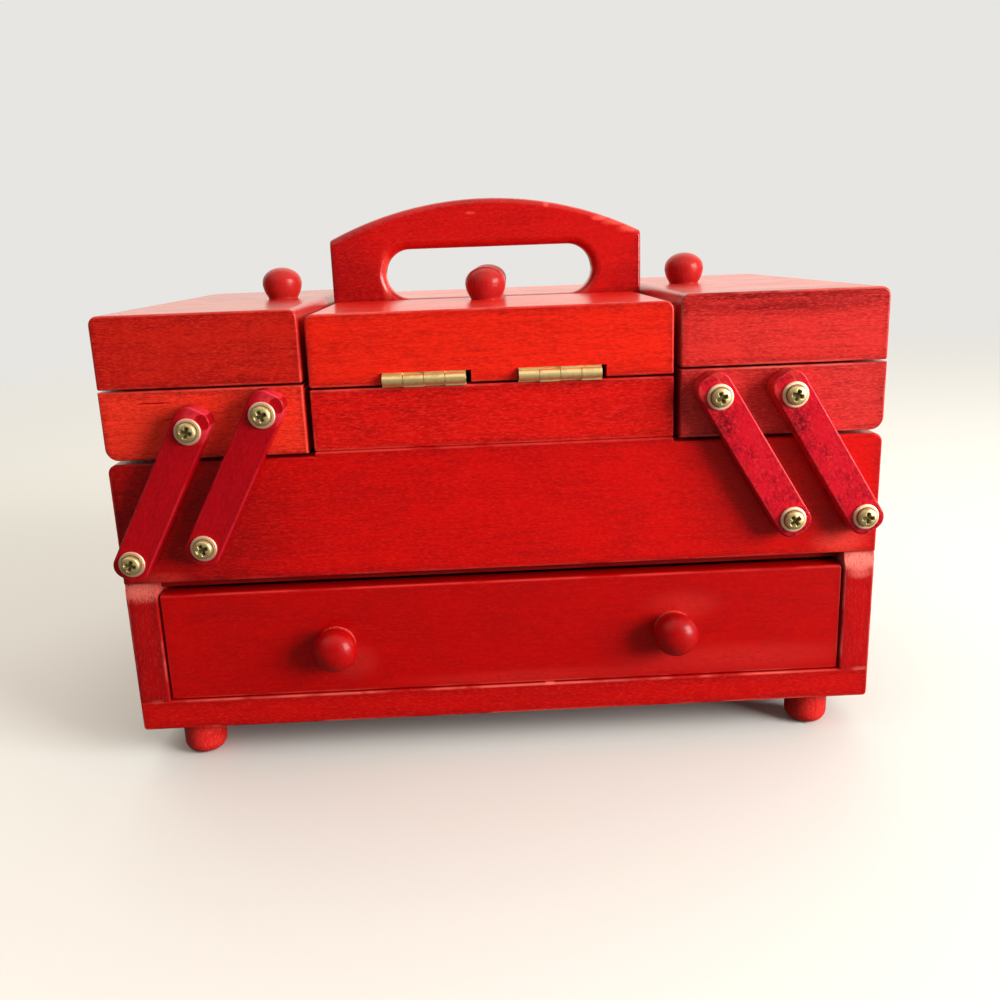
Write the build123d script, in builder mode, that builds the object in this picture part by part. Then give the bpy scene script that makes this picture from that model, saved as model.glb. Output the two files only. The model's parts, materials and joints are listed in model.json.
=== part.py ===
"""Wooden cantilever sewing box: a drawer, a fixed middle part with two lids and a carrying
handle, and two lidded trays that swing out sideways on parallel arms.

Millimetres.  X runs to the right, Y to the back and Z up.  The origin is on the ground, under the
middle of the closed box's outer limits, knobs and screw heads included.
"""
from build123d import *
from math import cos, radians, sin, sqrt
import os

# ---- box ----
box_width = 290.0
box_depth = 176.0
edge_ease = 0.7  # sanded edges of every board

# ---- feet ----
foot_diameter = 16.8
foot_height = 15.0
foot_round = 5.0
foot_inset_x = 20.3  # foot centre, from the side of the box
foot_inset_y = 13.0  # foot centre, from the front or back of the box

# ---- base, which holds the drawer ----
base_board = 12.0
base_corner = 1.5  # lower left and right corners
base_side = 11.7
base_back = 8.0
bay_height = 45.2
deck_board = 4.0
deck_setback = 7.0  # from the front of the box
panel_bevel_height = 5.4  # sloping top of the side panels' ends
panel_bevel_depth = 1.5

# ---- main box ----
main_height = 46.7
main_board = 9.0
main_end = 9.0
main_corner = 3.5
main_step = 1.7  # how far the front rises between the trays
step_round = 1.0

# ---- middle part ----
centre_x = -1.4  # the middle part stands a little left of the middle
centre_width = 134.4
centre_setback = 1.0
centre_side = 8.0
centre_rise = 22.8  # above the main box's step

# ---- lids, all built alike ----
lid_height = 26.6
lid_panel = 4.5
lid_wall = 8.0
lid_corner = 3.4
lid_front_round = 1.0
lid_gap = 0.8  # over the wall below
lid_handle_gap = 0.8

# ---- trays ----
tray_lift = 1.3  # air under the tray
tray_height = 25.5
tray_wall = 8.0
tray_floor = 4.0
tray_corner = 4.8
tray_side_gap = 2.2  # air between the tray and the middle part

# ---- drawer ----
drawer_recess = 1.0
drawer_front = 8.5
drawer_side = 6.5
drawer_bottom = 3.0
drawer_bottom_lift = 2.0
drawer_side_drop = 4.0  # sides end this far below the front's top
drawer_side_gap = 0.6
drawer_top_gap = 1.4
drawer_run_gap = 0.3
drawer_back_gap = 2.0
drawer_knob_x = 66.2
drawer_top_round = 1.6  # upper front edge of the front
drawer_knob_drop = 23.3  # below the front's top edge

# ---- handle board ----
handle_board = 12.0
handle_left_gap = 2.9  # air between the board and the tray lids
handle_right_gap = 0.4
handle_left_shoulder = 53.6  # shoulder heights above the middle part's walls
handle_right_shoulder = 53.4
handle_crown = 69.2
handle_top_round = 3.0
handle_side_round = 1.2
grip_length = 90.6
grip_height = 21.0
grip_shift = 1.1  # grip centre, to the right of the board's middle
grip_bottom = 27.8  # above the middle part's walls
grip_round = 4.0

# ---- turned knobs ----
knob_diameter = 16.9
knob_base_diameter = 11.4
knob_height = 13.4
knob_waist = 7.0  # height of the widest ring
knob_inset = 20.0  # knob centre, from the lid's free edge
rear_knob_shift = 2.4

# ---- swinging arms; the holes were bored by hand, so the two sides differ a little ----
arm_length = 55.2  # from pivot to pivot
arm_width = 13.2
arm_thickness = 8.0
arm_corner = 5.0
arm_top_end = 8.6  # wood beyond the upper pivot
arm_low_end = 6.7  # wood beyond the lower pivot
arm_play = 0.4  # air between arm and box
arm_lean = {"left": 28.1, "right": 31.1}  # degrees inward from upright when closed
low_pivot_inset = {"left": 34.4, "right": 35.8}  # inner arm's lower pivot, from the box's side
low_pivot_drop = {"left": 31.0, "right": 29.8}  # below the main box's top
pivot_spacing = {"left": 27.0, "right": 27.5}
outer_arm_drop = {"left": 4.9, "right": 0.2}

# ---- screws and washers at the pivots ----
screw_shank = 3.6
screw_length = 15.6  # under the head
screw_head = 7.0
screw_head_height = 2.5
screw_head_crown = 1.1  # domed part of the head
recess_width = 4.2
recess_slot = 1.1
recess_depth = 1.3
screw_turn = 37.0  # each screw stopped at its own angle
washer_diameter = 9.8
washer_thickness = 0.9
washer_play = 0.05
pivot_play = 0.05  # radial, shank in an arm's hole
open_pivot_play = 0.4  # radial, at the outer arms' upper pivots
bite_play = 0.02  # radial, shank in the fixed wood

# ---- butt hinges ----
hinge_length = 30.8
hinge_barrel = 4.0
hinge_pin = 1.9
hinge_pin_play = 0.05
hinge_leaf = 1.0
hinge_leaf_depth = 7.4
hinge_throw = 1.65  # pin centre to the inside of each leaf
hinge_proud = 1.0  # pin centre in front of the wall's face
hinge_root_play = 0.2
knuckle_count = 4
knuckle_play = 0.25
notch_play = 1.1  # each end of the hinge in its notch
notch_shift = 0.8  # every notch was cut a little to one side
centre_hinge_offset = 25.0
tray_hinge_offset = 44.0

# ---- levels ----
base_top = foot_height + base_board
deck_z = base_top + bay_height
main_z = deck_z + deck_board
main_top = main_z + main_height
step_top = main_top + main_step
centre_top = step_top + centre_rise
centre_lid_z = centre_top + lid_gap
tray_z = main_top + tray_lift
tray_top = tray_z + tray_height
side_lid_z = tray_top + lid_gap

# ---- places across and along the box ----
half_width = box_width / 2
centre_half = centre_width / 2
screw_reach = arm_play + arm_thickness + washer_play + washer_thickness + screw_head_height
front_reach = max(knob_height - drawer_recess, screw_reach)
mid_y = (front_reach - screw_reach) / 2
front_y = mid_y - box_depth / 2
back_y = mid_y + box_depth / 2
centre_front_y = front_y + centre_setback
centre_back_y = back_y - centre_setback
lid_depth = box_depth / 2 - centre_setback - handle_board / 2 - lid_handle_gap
bay_half = half_width - base_side
main_inner_depth = box_depth - 2 * main_board
pin_rise = hinge_leaf + hinge_throw  # pin centre above the wall that carries the hinge
notch_height = pin_rise + hinge_throw + hinge_leaf - lid_gap

sides = {"left": -1, "right": 1}
ends = {"front": -1, "rear": 1}

os.makedirs("parts", exist_ok=True)


def write(piece, name):
    """Label a finished piece and write it to parts/."""
    piece.label = name
    export_step(piece, f"parts/{name}.step")


def upright(base):
    """The plane through base's X axis and its normal, for profiles turned about the normal."""
    return Plane(base.origin, x_dir=base.x_dir, z_dir=-base.y_dir)


def front_face(y, facing=-1):
    """A plane facing the front (or the back, facing=1) at depth y, with local Y pointing up."""
    return Plane((0, y, 0), x_dir=(-facing, 0, 0), z_dir=(0, facing, 0))


def dome(centre, radius, rise):
    """Quarter of an ellipse, from the rim up to the axis, drawn into the open BuildLine."""
    x, y = centre
    pull = 4 / 3 * (sqrt(2) - 1)
    controls = [(radius, 0), (radius, pull * rise), (pull * radius, rise), (0, rise)]
    return Bezier(*[(x + across, y + up) for across, up in controls])


def end_faces(builder):
    """The foremost and the rearmost face of what a builder holds."""
    faces = builder.faces().sort_by(Axis.Y)
    return ShapeList([faces[0], faces[-1]])


# ================= base =================
foot_places = GridLocations(box_width - 2 * foot_inset_x, box_depth - 2 * foot_inset_y, 2, 2)

with BuildPart() as foot:
    with BuildSketch(Plane.XZ) as foot_outline:
        with Locations((0, foot_height / 2)):
            Rectangle(foot_diameter, foot_height)
        fillet(foot_outline.vertices().group_by(Axis.Y)[0], foot_round)
        fillet(foot_outline.vertices().group_by(Axis.Y)[-1], edge_ease)
        split(bisect_by=Plane.YZ)
    revolve(axis=Axis.Z)

with BuildPart() as feet:
    with Locations((0, mid_y)), foot_places:
        add(foot.part)
write(feet.part, "feet")

with BuildPart() as base_bottom_board:
    with BuildSketch(Plane.XY.offset(foot_height)):
        with Locations((0, mid_y)):
            Rectangle(box_width, box_depth)
    extrude(amount=base_board)
    fillet(base_bottom_board.edges().group_by(Axis.Z)[0].filter_by(Axis.Y), base_corner)
    fillet(end_faces(base_bottom_board).edges(), edge_ease)
write(base_bottom_board.part, "base_bottom_board")

with BuildPart() as base_side_panels:
    with BuildSketch(Plane.XY.offset(base_top)):
        with Locations(*[(s * (half_width - base_side / 2), mid_y) for s in sides.values()]):
            Rectangle(base_side, box_depth)
    extrude(amount=main_z - base_top)
    top_ends = base_side_panels.edges().group_by(Axis.Z)[-1].filter_by(Axis.X)
    chamfer(top_ends, panel_bevel_height, panel_bevel_depth)
    fillet(base_side_panels.edges().filter_by(Axis.Z), edge_ease)
write(base_side_panels.part, "base_side_panels")

with BuildPart() as base_back_board:
    with BuildSketch(Plane.XY.offset(base_top)):
        with Locations((0, back_y - base_back / 2)):
            Rectangle(2 * bay_half, base_back)
    extrude(amount=bay_height)
    fillet(base_back_board.edges(), edge_ease)
write(base_back_board.part, "base_back_board")

with BuildPart() as deck:
    with BuildSketch(Plane.XY.offset(deck_z)):
        with Locations((0, mid_y + deck_setback / 2)):
            Rectangle(2 * bay_half, box_depth - deck_setback)
    extrude(amount=deck_board)
    fillet(deck.edges(), edge_ease)
write(deck.part, "deck_board")


# ================= main box =================
def pivot_holes(y, facing, pivots, radius):
    """Cylinders, as deep as the screws bite, where the arm screws enter a board's outer face."""
    with BuildPart() as bores:
        with BuildSketch(front_face(y, facing)):
            with Locations(*[(-facing * x, z) for x, z in pivots]):
                Circle(radius)
        extrude(amount=-(screw_length - screw_reach + screw_head_height))
    return bores.part


def low_pivots(side):
    """(x, z) of the inner and the outer arm's lower pivot."""
    x, z = half_width - low_pivot_inset[side], main_top - low_pivot_drop[side]
    return [
        (sides[side] * x, z),
        (sides[side] * (x + pivot_spacing[side]), z - outer_arm_drop[side]),
    ]


def top_pivots(side):
    """(x, z) of the inner and the outer arm's upper pivot when the tray is closed."""
    lean = radians(arm_lean[side])
    inward = -sides[side] * arm_length * sin(lean)
    return [(x + inward, z + arm_length * cos(lean)) for x, z in low_pivots(side)]


all_low_pivots = low_pivots("left") + low_pivots("right")
bite_radius = screw_shank / 2 + bite_play


def main_long_board(end):
    """The main box's front or back board, with its middle raised between the trays."""
    facing = ends[end]
    face_y = mid_y + facing * box_depth / 2
    with BuildPart() as long_board:
        with BuildSketch(front_face(face_y, facing)) as outline:
            with Locations((0, main_z + main_height / 2)):
                Rectangle(box_width, main_height)
            fillet(outline.vertices().group_by(Axis.Y)[-1], main_corner)
            with Locations((-facing * centre_x, main_z + (main_height + main_step) / 2)):
                Rectangle(centre_width, main_height + main_step)
        extrude(amount=-main_board)
        rims = end_faces(long_board).edges()
        step_rims = rims.group_by(Axis.Z)[-1]
        fillet(rims - step_rims, edge_ease)
        fillet(end_faces(long_board).edges().group_by(Axis.Z)[-1], step_round)
        add(pivot_holes(face_y, facing, all_low_pivots, bite_radius), mode=Mode.SUBTRACT)
    return long_board.part


write(main_long_board("front"), "main_front_board")
write(main_long_board("rear"), "main_back_board")

with BuildPart() as main_end_boards:
    with BuildSketch(Plane.XY.offset(main_z)):
        with Locations(*[(s * (half_width - main_end / 2), mid_y) for s in sides.values()]):
            Rectangle(main_end, main_inner_depth)
    extrude(amount=main_height)
    top_edges = main_end_boards.edges().group_by(Axis.Z)[-1].filter_by(Axis.Y)
    fillet(top_edges.sort_by(Axis.X)[0::3], main_corner)
write(main_end_boards.part, "main_end_boards")


# ================= middle part =================
def centre_long_board(end):
    """The middle part's front or back board, standing on the main box's step."""
    facing = ends[end]
    thickness = main_board - centre_setback
    with BuildPart() as long_board:
        with BuildSketch(Plane.XY.offset(step_top)):
            inner_y = mid_y + facing * (box_depth / 2 - main_board)
            with Locations((centre_x, inner_y + facing * thickness / 2)):
                Rectangle(centre_width, thickness)
        extrude(amount=centre_rise)
        fillet(long_board.edges(), edge_ease)
    return long_board.part


write(centre_long_board("front"), "centre_front_board")
write(centre_long_board("rear"), "centre_back_board")

side_wall_x = centre_half - centre_side / 2
with BuildPart() as centre_side_walls:
    with BuildSketch(Plane.XY.offset(main_z)):
        with Locations(*[(centre_x + s * side_wall_x, mid_y) for s in sides.values()]):
            Rectangle(centre_side, main_inner_depth)
    extrude(amount=centre_top - main_z)
    fillet(centre_side_walls.edges(), edge_ease)
write(centre_side_walls.part, "centre_side_walls")

# The handle board rests with its shoulders on the side walls, and its tongue divides the middle.
tongue_half = centre_half - centre_side
handle_left = centre_x - centre_half - tray_side_gap + handle_left_gap
handle_right = centre_x + centre_half + tray_side_gap - handle_right_gap
handle_middle = (handle_left + handle_right) / 2
grip_x = handle_middle + grip_shift
grip_z = centre_top + grip_bottom + grip_height / 2
with BuildPart() as handle:
    with BuildSketch(front_face(mid_y - handle_board / 2)) as handle_outline:
        with BuildLine():
            left_top = (handle_left, centre_top + handle_left_shoulder)
            right_top = (handle_right, centre_top + handle_right_shoulder)
            Polyline(left_top, (handle_left, centre_top), (handle_right, centre_top), right_top)
            ThreePointArc(left_top, (handle_middle, centre_top + handle_crown), right_top)
        make_face()
    extrude(amount=-handle_board)
    arch = handle.faces().filter_by(GeomType.CYLINDER).edges().filter_by(GeomType.CIRCLE)
    fillet(arch, handle_top_round)
    fillet(handle.edges().filter_by(Axis.Z), handle_side_round)
    with BuildSketch(front_face(mid_y - handle_board / 2)):
        with Locations((grip_x, grip_z)):
            SlotOverall(grip_length, grip_height)
    extrude(amount=-handle_board, mode=Mode.SUBTRACT)
    in_grip = handle.edges().filter_by_position(
        Axis.Z, grip_z - grip_height / 2 - 1, grip_z + grip_height / 2 + 1
    )
    rims = in_grip.filter_by_position(Axis.X, grip_x - grip_length / 2 - 1, grip_x + grip_length / 2 + 1)
    fillet(rims.filter_by(Axis.Y, reverse=True), grip_round)
    with BuildSketch(Plane.XY.offset(main_z)):
        with Locations((centre_x, mid_y)):
            Rectangle(2 * tongue_half, handle_board)
    extrude(amount=centre_top - main_z)
write(handle.part, "handle_board")


# ================= turned knobs =================
def knob(base):
    """A truncated ball standing on the plane base, widest a little below the middle."""
    radius, base_radius = knob_diameter / 2, knob_base_diameter / 2
    with BuildPart() as turned:
        with BuildSketch(upright(base)):
            with BuildLine():
                Line((0, knob_height), (0, 0))
                Line((0, 0), (base_radius, 0))
                TangentArc((radius, knob_waist), (base_radius, 0), tangent=(0, -1))
                dome((0, knob_waist), radius, knob_height - knob_waist)
            make_face()
        revolve(axis=Axis(base.origin, base.z_dir))
    return turned.part


# ================= butt hinges =================
def hinge_frame(pin, along, outward):
    """Local frame of a hinge: X along the pin, Z outward from the wall, Y up or down."""
    return Plane(pin, x_dir=along, z_dir=outward)


def hinge_leaves(frames, first_knuckle, up):
    """One leaf of each hinge in frames.  up is 1 for the lid's leaf and -1 for the lower one."""
    pitch = hinge_length / knuckle_count
    clear = hinge_barrel / 2 + hinge_root_play
    root = sqrt(max(clear**2 - hinge_throw**2, 0))
    with BuildPart() as leaves:
        for frame in frames:
            lift = up if frame.y_dir.Z > 0 else -up
            end = Plane(frame.from_local_coords(Vector(-hinge_length / 2, 0, 0)), x_dir=frame.y_dir,
                        z_dir=frame.x_dir)
            mid_leaf = lift * (hinge_throw + hinge_leaf / 2)
            with BuildSketch(end):
                with Locations((mid_leaf, -(root + hinge_leaf_depth) / 2)):
                    Rectangle(hinge_leaf, hinge_leaf_depth - root)
            extrude(amount=hinge_length)
            for index in range(first_knuckle, knuckle_count, 2):
                with BuildSketch(end.offset(index * pitch + knuckle_play / 2)):
                    Circle(hinge_barrel / 2)
                    with Locations((mid_leaf, -root / 2)):
                        Rectangle(hinge_leaf, root)
                    Circle(hinge_pin / 2 + hinge_pin_play, mode=Mode.SUBTRACT)
                extrude(amount=pitch - knuckle_play)
    return leaves.part


def hinge_pins(frames):
    """The pin of each hinge in frames, with rounded ends."""
    with BuildPart() as pins:
        for frame in frames:
            end = Plane(frame.from_local_coords(Vector(-hinge_length / 2, 0, 0)), z_dir=frame.x_dir)
            with BuildSketch(end):
                Circle(hinge_pin / 2)
            extrude(amount=hinge_length)
        fillet(pins.edges().filter_by(GeomType.CIRCLE), hinge_pin / 4)
    return pins.part


def centre_hinge_frames(end):
    """The two hinges of the middle part's front or rear lid."""
    facing = ends[end]
    face_y = mid_y + facing * (box_depth / 2 - centre_setback)
    pin_y = face_y + facing * hinge_proud
    return [
        hinge_frame((centre_x + s * centre_hinge_offset, pin_y, centre_top + pin_rise), (1, 0, 0),
                    (0, facing, 0))
        for s in sides.values()
    ]


def tray_hinge_frames(side):
    """The two hinges of a tray's lid, on the tray's outer side."""
    pin_x = sides[side] * (half_width + hinge_proud)
    return [
        hinge_frame((pin_x, mid_y + s * tray_hinge_offset, tray_top + pin_rise), (0, 1, 0),
                    (sides[side], 0, 0))
        for s in ends.values()
    ]


# ================= walls and lids =================
def long_walls(x_span, y_span, z_span, wall):
    """The front and the back board of an open frame, running its full width."""
    with BuildPart() as boards:
        with BuildSketch(Plane.XY.offset(z_span[0])):
            for y in (y_span[0] + wall / 2, y_span[1] - wall / 2):
                with Locations((sum(x_span) / 2, y)):
                    Rectangle(x_span[1] - x_span[0], wall)
        extrude(amount=z_span[1] - z_span[0])
    return boards.part


def end_walls(x_span, y_span, z_span, wall):
    """The two boards that close an open frame between its long ones."""
    with BuildPart() as boards:
        with BuildSketch(Plane.XY.offset(z_span[0])):
            for x in (x_span[0] + wall / 2, x_span[1] - wall / 2):
                with Locations((x, sum(y_span) / 2)):
                    Rectangle(wall, y_span[1] - y_span[0] - 2 * wall)
        extrude(amount=z_span[1] - z_span[0])
    return boards.part


def notches(frames, lid_z):
    """Blocks that clear the hinges in frames out of a lid wall's lower edge."""
    length = hinge_length + 2 * notch_play
    with BuildPart() as cuts:
        for frame in frames:
            inward = frame.origin - frame.z_dir * (hinge_proud + lid_wall / 2)
            with BuildSketch(Plane((inward.X, inward.Y, lid_z), x_dir=frame.x_dir)):
                with Locations((notch_shift, 0)):
                    Rectangle(length, lid_wall)
            extrude(amount=notch_height)
    return cuts.part


def make_lid(name, x_span, y_span, z, frames, knob_at):
    """The boards, top, knob and hinge leaves of one lid."""
    wall_z = (z, z + lid_height - lid_panel)
    with BuildPart() as lid_long_walls:
        add(long_walls(x_span, y_span, wall_z, lid_wall))
        fillet(lid_long_walls.edges().filter_by(Axis.Z), lid_front_round)
        fillet(lid_long_walls.edges().group_by(Axis.Z)[0], edge_ease)
        add(notches(frames, z), mode=Mode.SUBTRACT)
    write(lid_long_walls.part, f"{name}_long_walls")

    with BuildPart() as lid_end_walls:
        add(end_walls(x_span, y_span, wall_z, lid_wall))
        fillet(lid_end_walls.edges().group_by(Axis.Z)[0], edge_ease)
        add(notches(frames, z), mode=Mode.SUBTRACT)
    write(lid_end_walls.part, f"{name}_end_walls")

    with BuildPart() as lid_top:
        with BuildSketch(front_face(y_span[0])) as panel_outline:
            with Locations((sum(x_span) / 2, wall_z[1] + lid_panel / 2)):
                Rectangle(x_span[1] - x_span[0], lid_panel)
            fillet(panel_outline.vertices().group_by(Axis.Y)[-1], lid_corner)
        extrude(amount=-(y_span[1] - y_span[0]))
        rims = end_faces(lid_top).edges()
        fillet(rims - rims.group_by(Axis.Z)[0], lid_front_round)
    write(lid_top.part, f"{name}_top")

    write(knob(Plane((*knob_at, z + lid_height))), f"{name}_knob")
    write(hinge_leaves(frames, 0, 1), f"{name}_hinge_leaves")


centre_x_span = (centre_x - centre_half, centre_x + centre_half)
front_lid_y = (centre_front_y, centre_front_y + lid_depth)
rear_lid_y = (centre_back_y - lid_depth, centre_back_y)
make_lid("front_lid", centre_x_span, front_lid_y, centre_lid_z, centre_hinge_frames("front"),
         (centre_x, front_lid_y[1] - knob_inset))
make_lid("rear_lid", centre_x_span, rear_lid_y, centre_lid_z, centre_hinge_frames("rear"),
         (centre_x + rear_knob_shift, rear_lid_y[0] + knob_inset))

centre_frames = centre_hinge_frames("front") + centre_hinge_frames("rear")
write(hinge_leaves(centre_frames, 1, -1), "centre_hinge_leaves")
write(hinge_pins(centre_frames), "centre_hinge_pins")


# ================= pivot hardware =================
def pivot_planes(pivots):
    """Planes on the outer faces of the front and the back arms, one for each pivot."""
    planes = []
    for facing in ends.values():
        y = mid_y + facing * (box_depth / 2 + arm_play + arm_thickness + washer_play)
        for x, z in pivots:
            planes.append(Plane((x, y, z), x_dir=(-facing, 0, 0), z_dir=(0, facing, 0)))
    return planes


with BuildPart() as washer:
    with BuildSketch():
        Circle(washer_diameter / 2)
        Circle(screw_shank / 2 + bite_play, mode=Mode.SUBTRACT)
    extrude(amount=washer_thickness)
    fillet(washer.faces().sort_by(Axis.Z)[-1].outer_wire().edges(), washer_thickness / 3)

# The screw points down its own -Z, and its head stands on the washer.
with BuildPart() as screw:
    with BuildSketch(Plane.XZ):
        with BuildLine():
            head_z, tip_z = washer_thickness, washer_thickness - screw_length
            dome_z = head_z + screw_head_height - screw_head_crown
            shank, head = screw_shank / 2, screw_head / 2
            Polyline((0, head_z + screw_head_height), (0, tip_z), (shank / 3, tip_z),
                     (shank, tip_z + screw_shank), (shank, head_z), (head, head_z), (head, dome_z))
            dome((0, dome_z), head, screw_head_crown)
        make_face()
    revolve(axis=Axis.Z)
    with BuildSketch(Plane.XY.offset(head_z + screw_head_height)):
        Rectangle(recess_width, recess_slot)
        Rectangle(recess_slot, recess_width)
    extrude(amount=-recess_depth, mode=Mode.SUBTRACT)


def write_pivot_hardware(pivots, name):
    """The screws and washers at the given pivots, front and back."""
    with BuildPart() as screws:
        for index, plane in enumerate(pivot_planes(pivots)):
            add(screw.part.rotate(Axis.Z, screw_turn * (index + 1)).moved(plane.location))
    write(screws.part, f"{name}_screws")
    with BuildPart() as washers:
        for plane in pivot_planes(pivots):
            add(washer.part.moved(plane.location))
    write(washers.part, f"{name}_washers")


write_pivot_hardware(all_low_pivots, "low_pivot")


# ================= swinging arms =================
def arm_plane(side, facing, low_x, low_z):
    """Plane of an arm's inner face: origin at its lower pivot, local Y along the closed arm."""
    lean = radians(arm_lean[side])
    along = Vector(-sides[side] * sin(lean), 0, cos(lean))
    outward = Vector(0, facing, 0)
    y = mid_y + facing * (box_depth / 2 + arm_play)
    return Plane((low_x, y, low_z), x_dir=along.cross(outward), z_dir=outward)


def swing_arms(side, index):
    """The front and the back arm that share one pivot axis.  index 0 is the inner pair."""
    low_x, low_z = low_pivots(side)[index]
    top_play = pivot_play if index == 0 else open_pivot_play
    with BuildPart() as pair:
        for facing in ends.values():
            with BuildSketch(arm_plane(side, facing, low_x, low_z)):
                with Locations((0, (arm_length + arm_top_end - arm_low_end) / 2)):
                    RectangleRounded(arm_width, arm_length + arm_top_end + arm_low_end, arm_corner)
            extrude(amount=arm_thickness)
        fillet(pair.faces().filter_by(Axis.Y).edges(), edge_ease)
        for facing in ends.values():
            with BuildSketch(arm_plane(side, facing, low_x, low_z)):
                Circle(screw_shank / 2 + pivot_play)
                with Locations((0, arm_length)):
                    Circle(screw_shank / 2 + top_play)
            extrude(amount=arm_thickness, mode=Mode.SUBTRACT)
    return pair.part


# ================= trays =================
def make_side(side):
    """One tray with its lid and its four arms."""
    s = sides[side]
    inner_x = centre_x + s * (centre_half + tray_side_gap)
    x_span = tuple(sorted((inner_x, s * half_width)))
    y_span = (front_y, back_y)
    z_span = (tray_z, tray_top)
    outermost = 0 if s < 0 else -1

    with BuildPart() as tray_long_walls:
        add(long_walls(x_span, y_span, z_span, tray_wall))
        low = tray_long_walls.edges().group_by(Axis.Z)[0].filter_by(Axis.Y)
        fillet(low.group_by(Axis.X)[outermost], tray_corner)
        fillet(end_faces(tray_long_walls).edges(), edge_ease)
        for end in ends:
            face_y = mid_y + ends[end] * box_depth / 2
            add(pivot_holes(face_y, ends[end], top_pivots(side), bite_radius), mode=Mode.SUBTRACT)
    write(tray_long_walls.part, f"{side}_tray_long_walls")

    with BuildPart() as tray_end_walls:
        add(end_walls(x_span, y_span, z_span, tray_wall))
        low = tray_end_walls.edges().group_by(Axis.Z)[0].filter_by(Axis.Y)
        fillet(low.sort_by(Axis.X)[outermost], tray_corner)
        fillet(tray_end_walls.edges().group_by(Axis.Z)[-1].filter_by(Axis.Y), edge_ease)
    write(tray_end_walls.part, f"{side}_tray_end_walls")

    with BuildPart() as tray_bottom:
        with BuildSketch(Plane.XY.offset(tray_z)):
            with Locations((sum(x_span) / 2, mid_y)):
                Rectangle(x_span[1] - x_span[0] - 2 * tray_wall, box_depth - 2 * tray_wall)
        extrude(amount=tray_floor)
    write(tray_bottom.part, f"{side}_tray_floor")

    frames = tray_hinge_frames(side)
    write(hinge_leaves(frames, 1, -1), f"{side}_tray_hinge_leaves")
    write(hinge_pins(frames), f"{side}_tray_hinge_pins")
    write_pivot_hardware(top_pivots(side), f"{side}_tray")
    make_lid(f"{side}_tray_lid", x_span, y_span, side_lid_z, frames,
             (inner_x + s * knob_inset, mid_y))
    write(swing_arms(side, 0), f"{side}_inner_arms")
    write(swing_arms(side, 1), f"{side}_outer_arms")


make_side("left")
make_side("right")

# ================= drawer =================
drawer_z = base_top + drawer_run_gap
drawer_top = deck_z - drawer_top_gap
drawer_face_y = front_y + drawer_recess
drawer_back_y = back_y - base_back - drawer_back_gap
drawer_half = bay_half - drawer_side_gap
drawer_inner_y = drawer_face_y + drawer_front
side_top = drawer_top - drawer_side_drop
drawer_run = drawer_back_y - drawer_inner_y

with BuildPart() as drawer_front_board:
    with BuildSketch(Plane.YZ) as drawer_profile:
        with Locations((drawer_face_y + drawer_front / 2, (drawer_z + drawer_top) / 2)):
            Rectangle(drawer_front, drawer_top - drawer_z)
        fillet(drawer_profile.vertices().group_by(Axis.Y)[-1].sort_by(Axis.X)[0], drawer_top_round)
        fillet(drawer_profile.vertices().group_by(Axis.Y)[-1].sort_by(Axis.X)[-1], edge_ease)
        fillet(drawer_profile.vertices().group_by(Axis.Y)[0], edge_ease)
    extrude(amount=drawer_half, both=True)
    side_rims = drawer_front_board.faces().filter_by(Axis.X).edges()
    fillet(side_rims, edge_ease)
write(drawer_front_board.part, "drawer_front")

with BuildPart() as drawer_sides:
    with BuildSketch(Plane.XY.offset(drawer_z)):
        for s in sides.values():
            with Locations((s * (drawer_half - drawer_side / 2), drawer_inner_y + drawer_run / 2)):
                Rectangle(drawer_side, drawer_run)
    extrude(amount=side_top - drawer_z)
write(drawer_sides.part, "drawer_sides")

with BuildPart() as drawer_back:
    with BuildSketch(Plane.XY.offset(drawer_z)):
        with Locations((0, drawer_back_y - drawer_side / 2)):
            Rectangle(2 * (drawer_half - drawer_side), drawer_side)
    extrude(amount=side_top - drawer_z)
write(drawer_back.part, "drawer_back")

with BuildPart() as drawer_floor:
    with BuildSketch(Plane.XY.offset(drawer_z + drawer_bottom_lift)):
        with Locations((0, drawer_inner_y + (drawer_run - drawer_side) / 2)):
            Rectangle(2 * (drawer_half - drawer_side), drawer_run - drawer_side)
    extrude(amount=drawer_bottom)
write(drawer_floor.part, "drawer_bottom")

with BuildPart() as drawer_knobs:
    for s in sides.values():
        place = (s * drawer_knob_x, drawer_face_y, drawer_top - drawer_knob_drop)
        add(knob(Plane(place, x_dir=(1, 0, 0), z_dir=(0, -1, 0))))
write(drawer_knobs.part, "drawer_knobs")
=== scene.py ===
"""Looks of a red lacquered cantilever sewing box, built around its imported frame.

Sizes in the dataclasses are in millimetres where they say nothing else, and everything that
reaches a mesh is in metres.  X runs to the right, Y to the back and Z up, with the floor at Z = 0.
"""

import json
import logging
import math
from dataclasses import dataclass, field, replace
from enum import Enum
from typing import Any, Mapping, Sequence

import bmesh
import bpy
import numpy as np
from mathutils import Matrix, Vector

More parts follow.
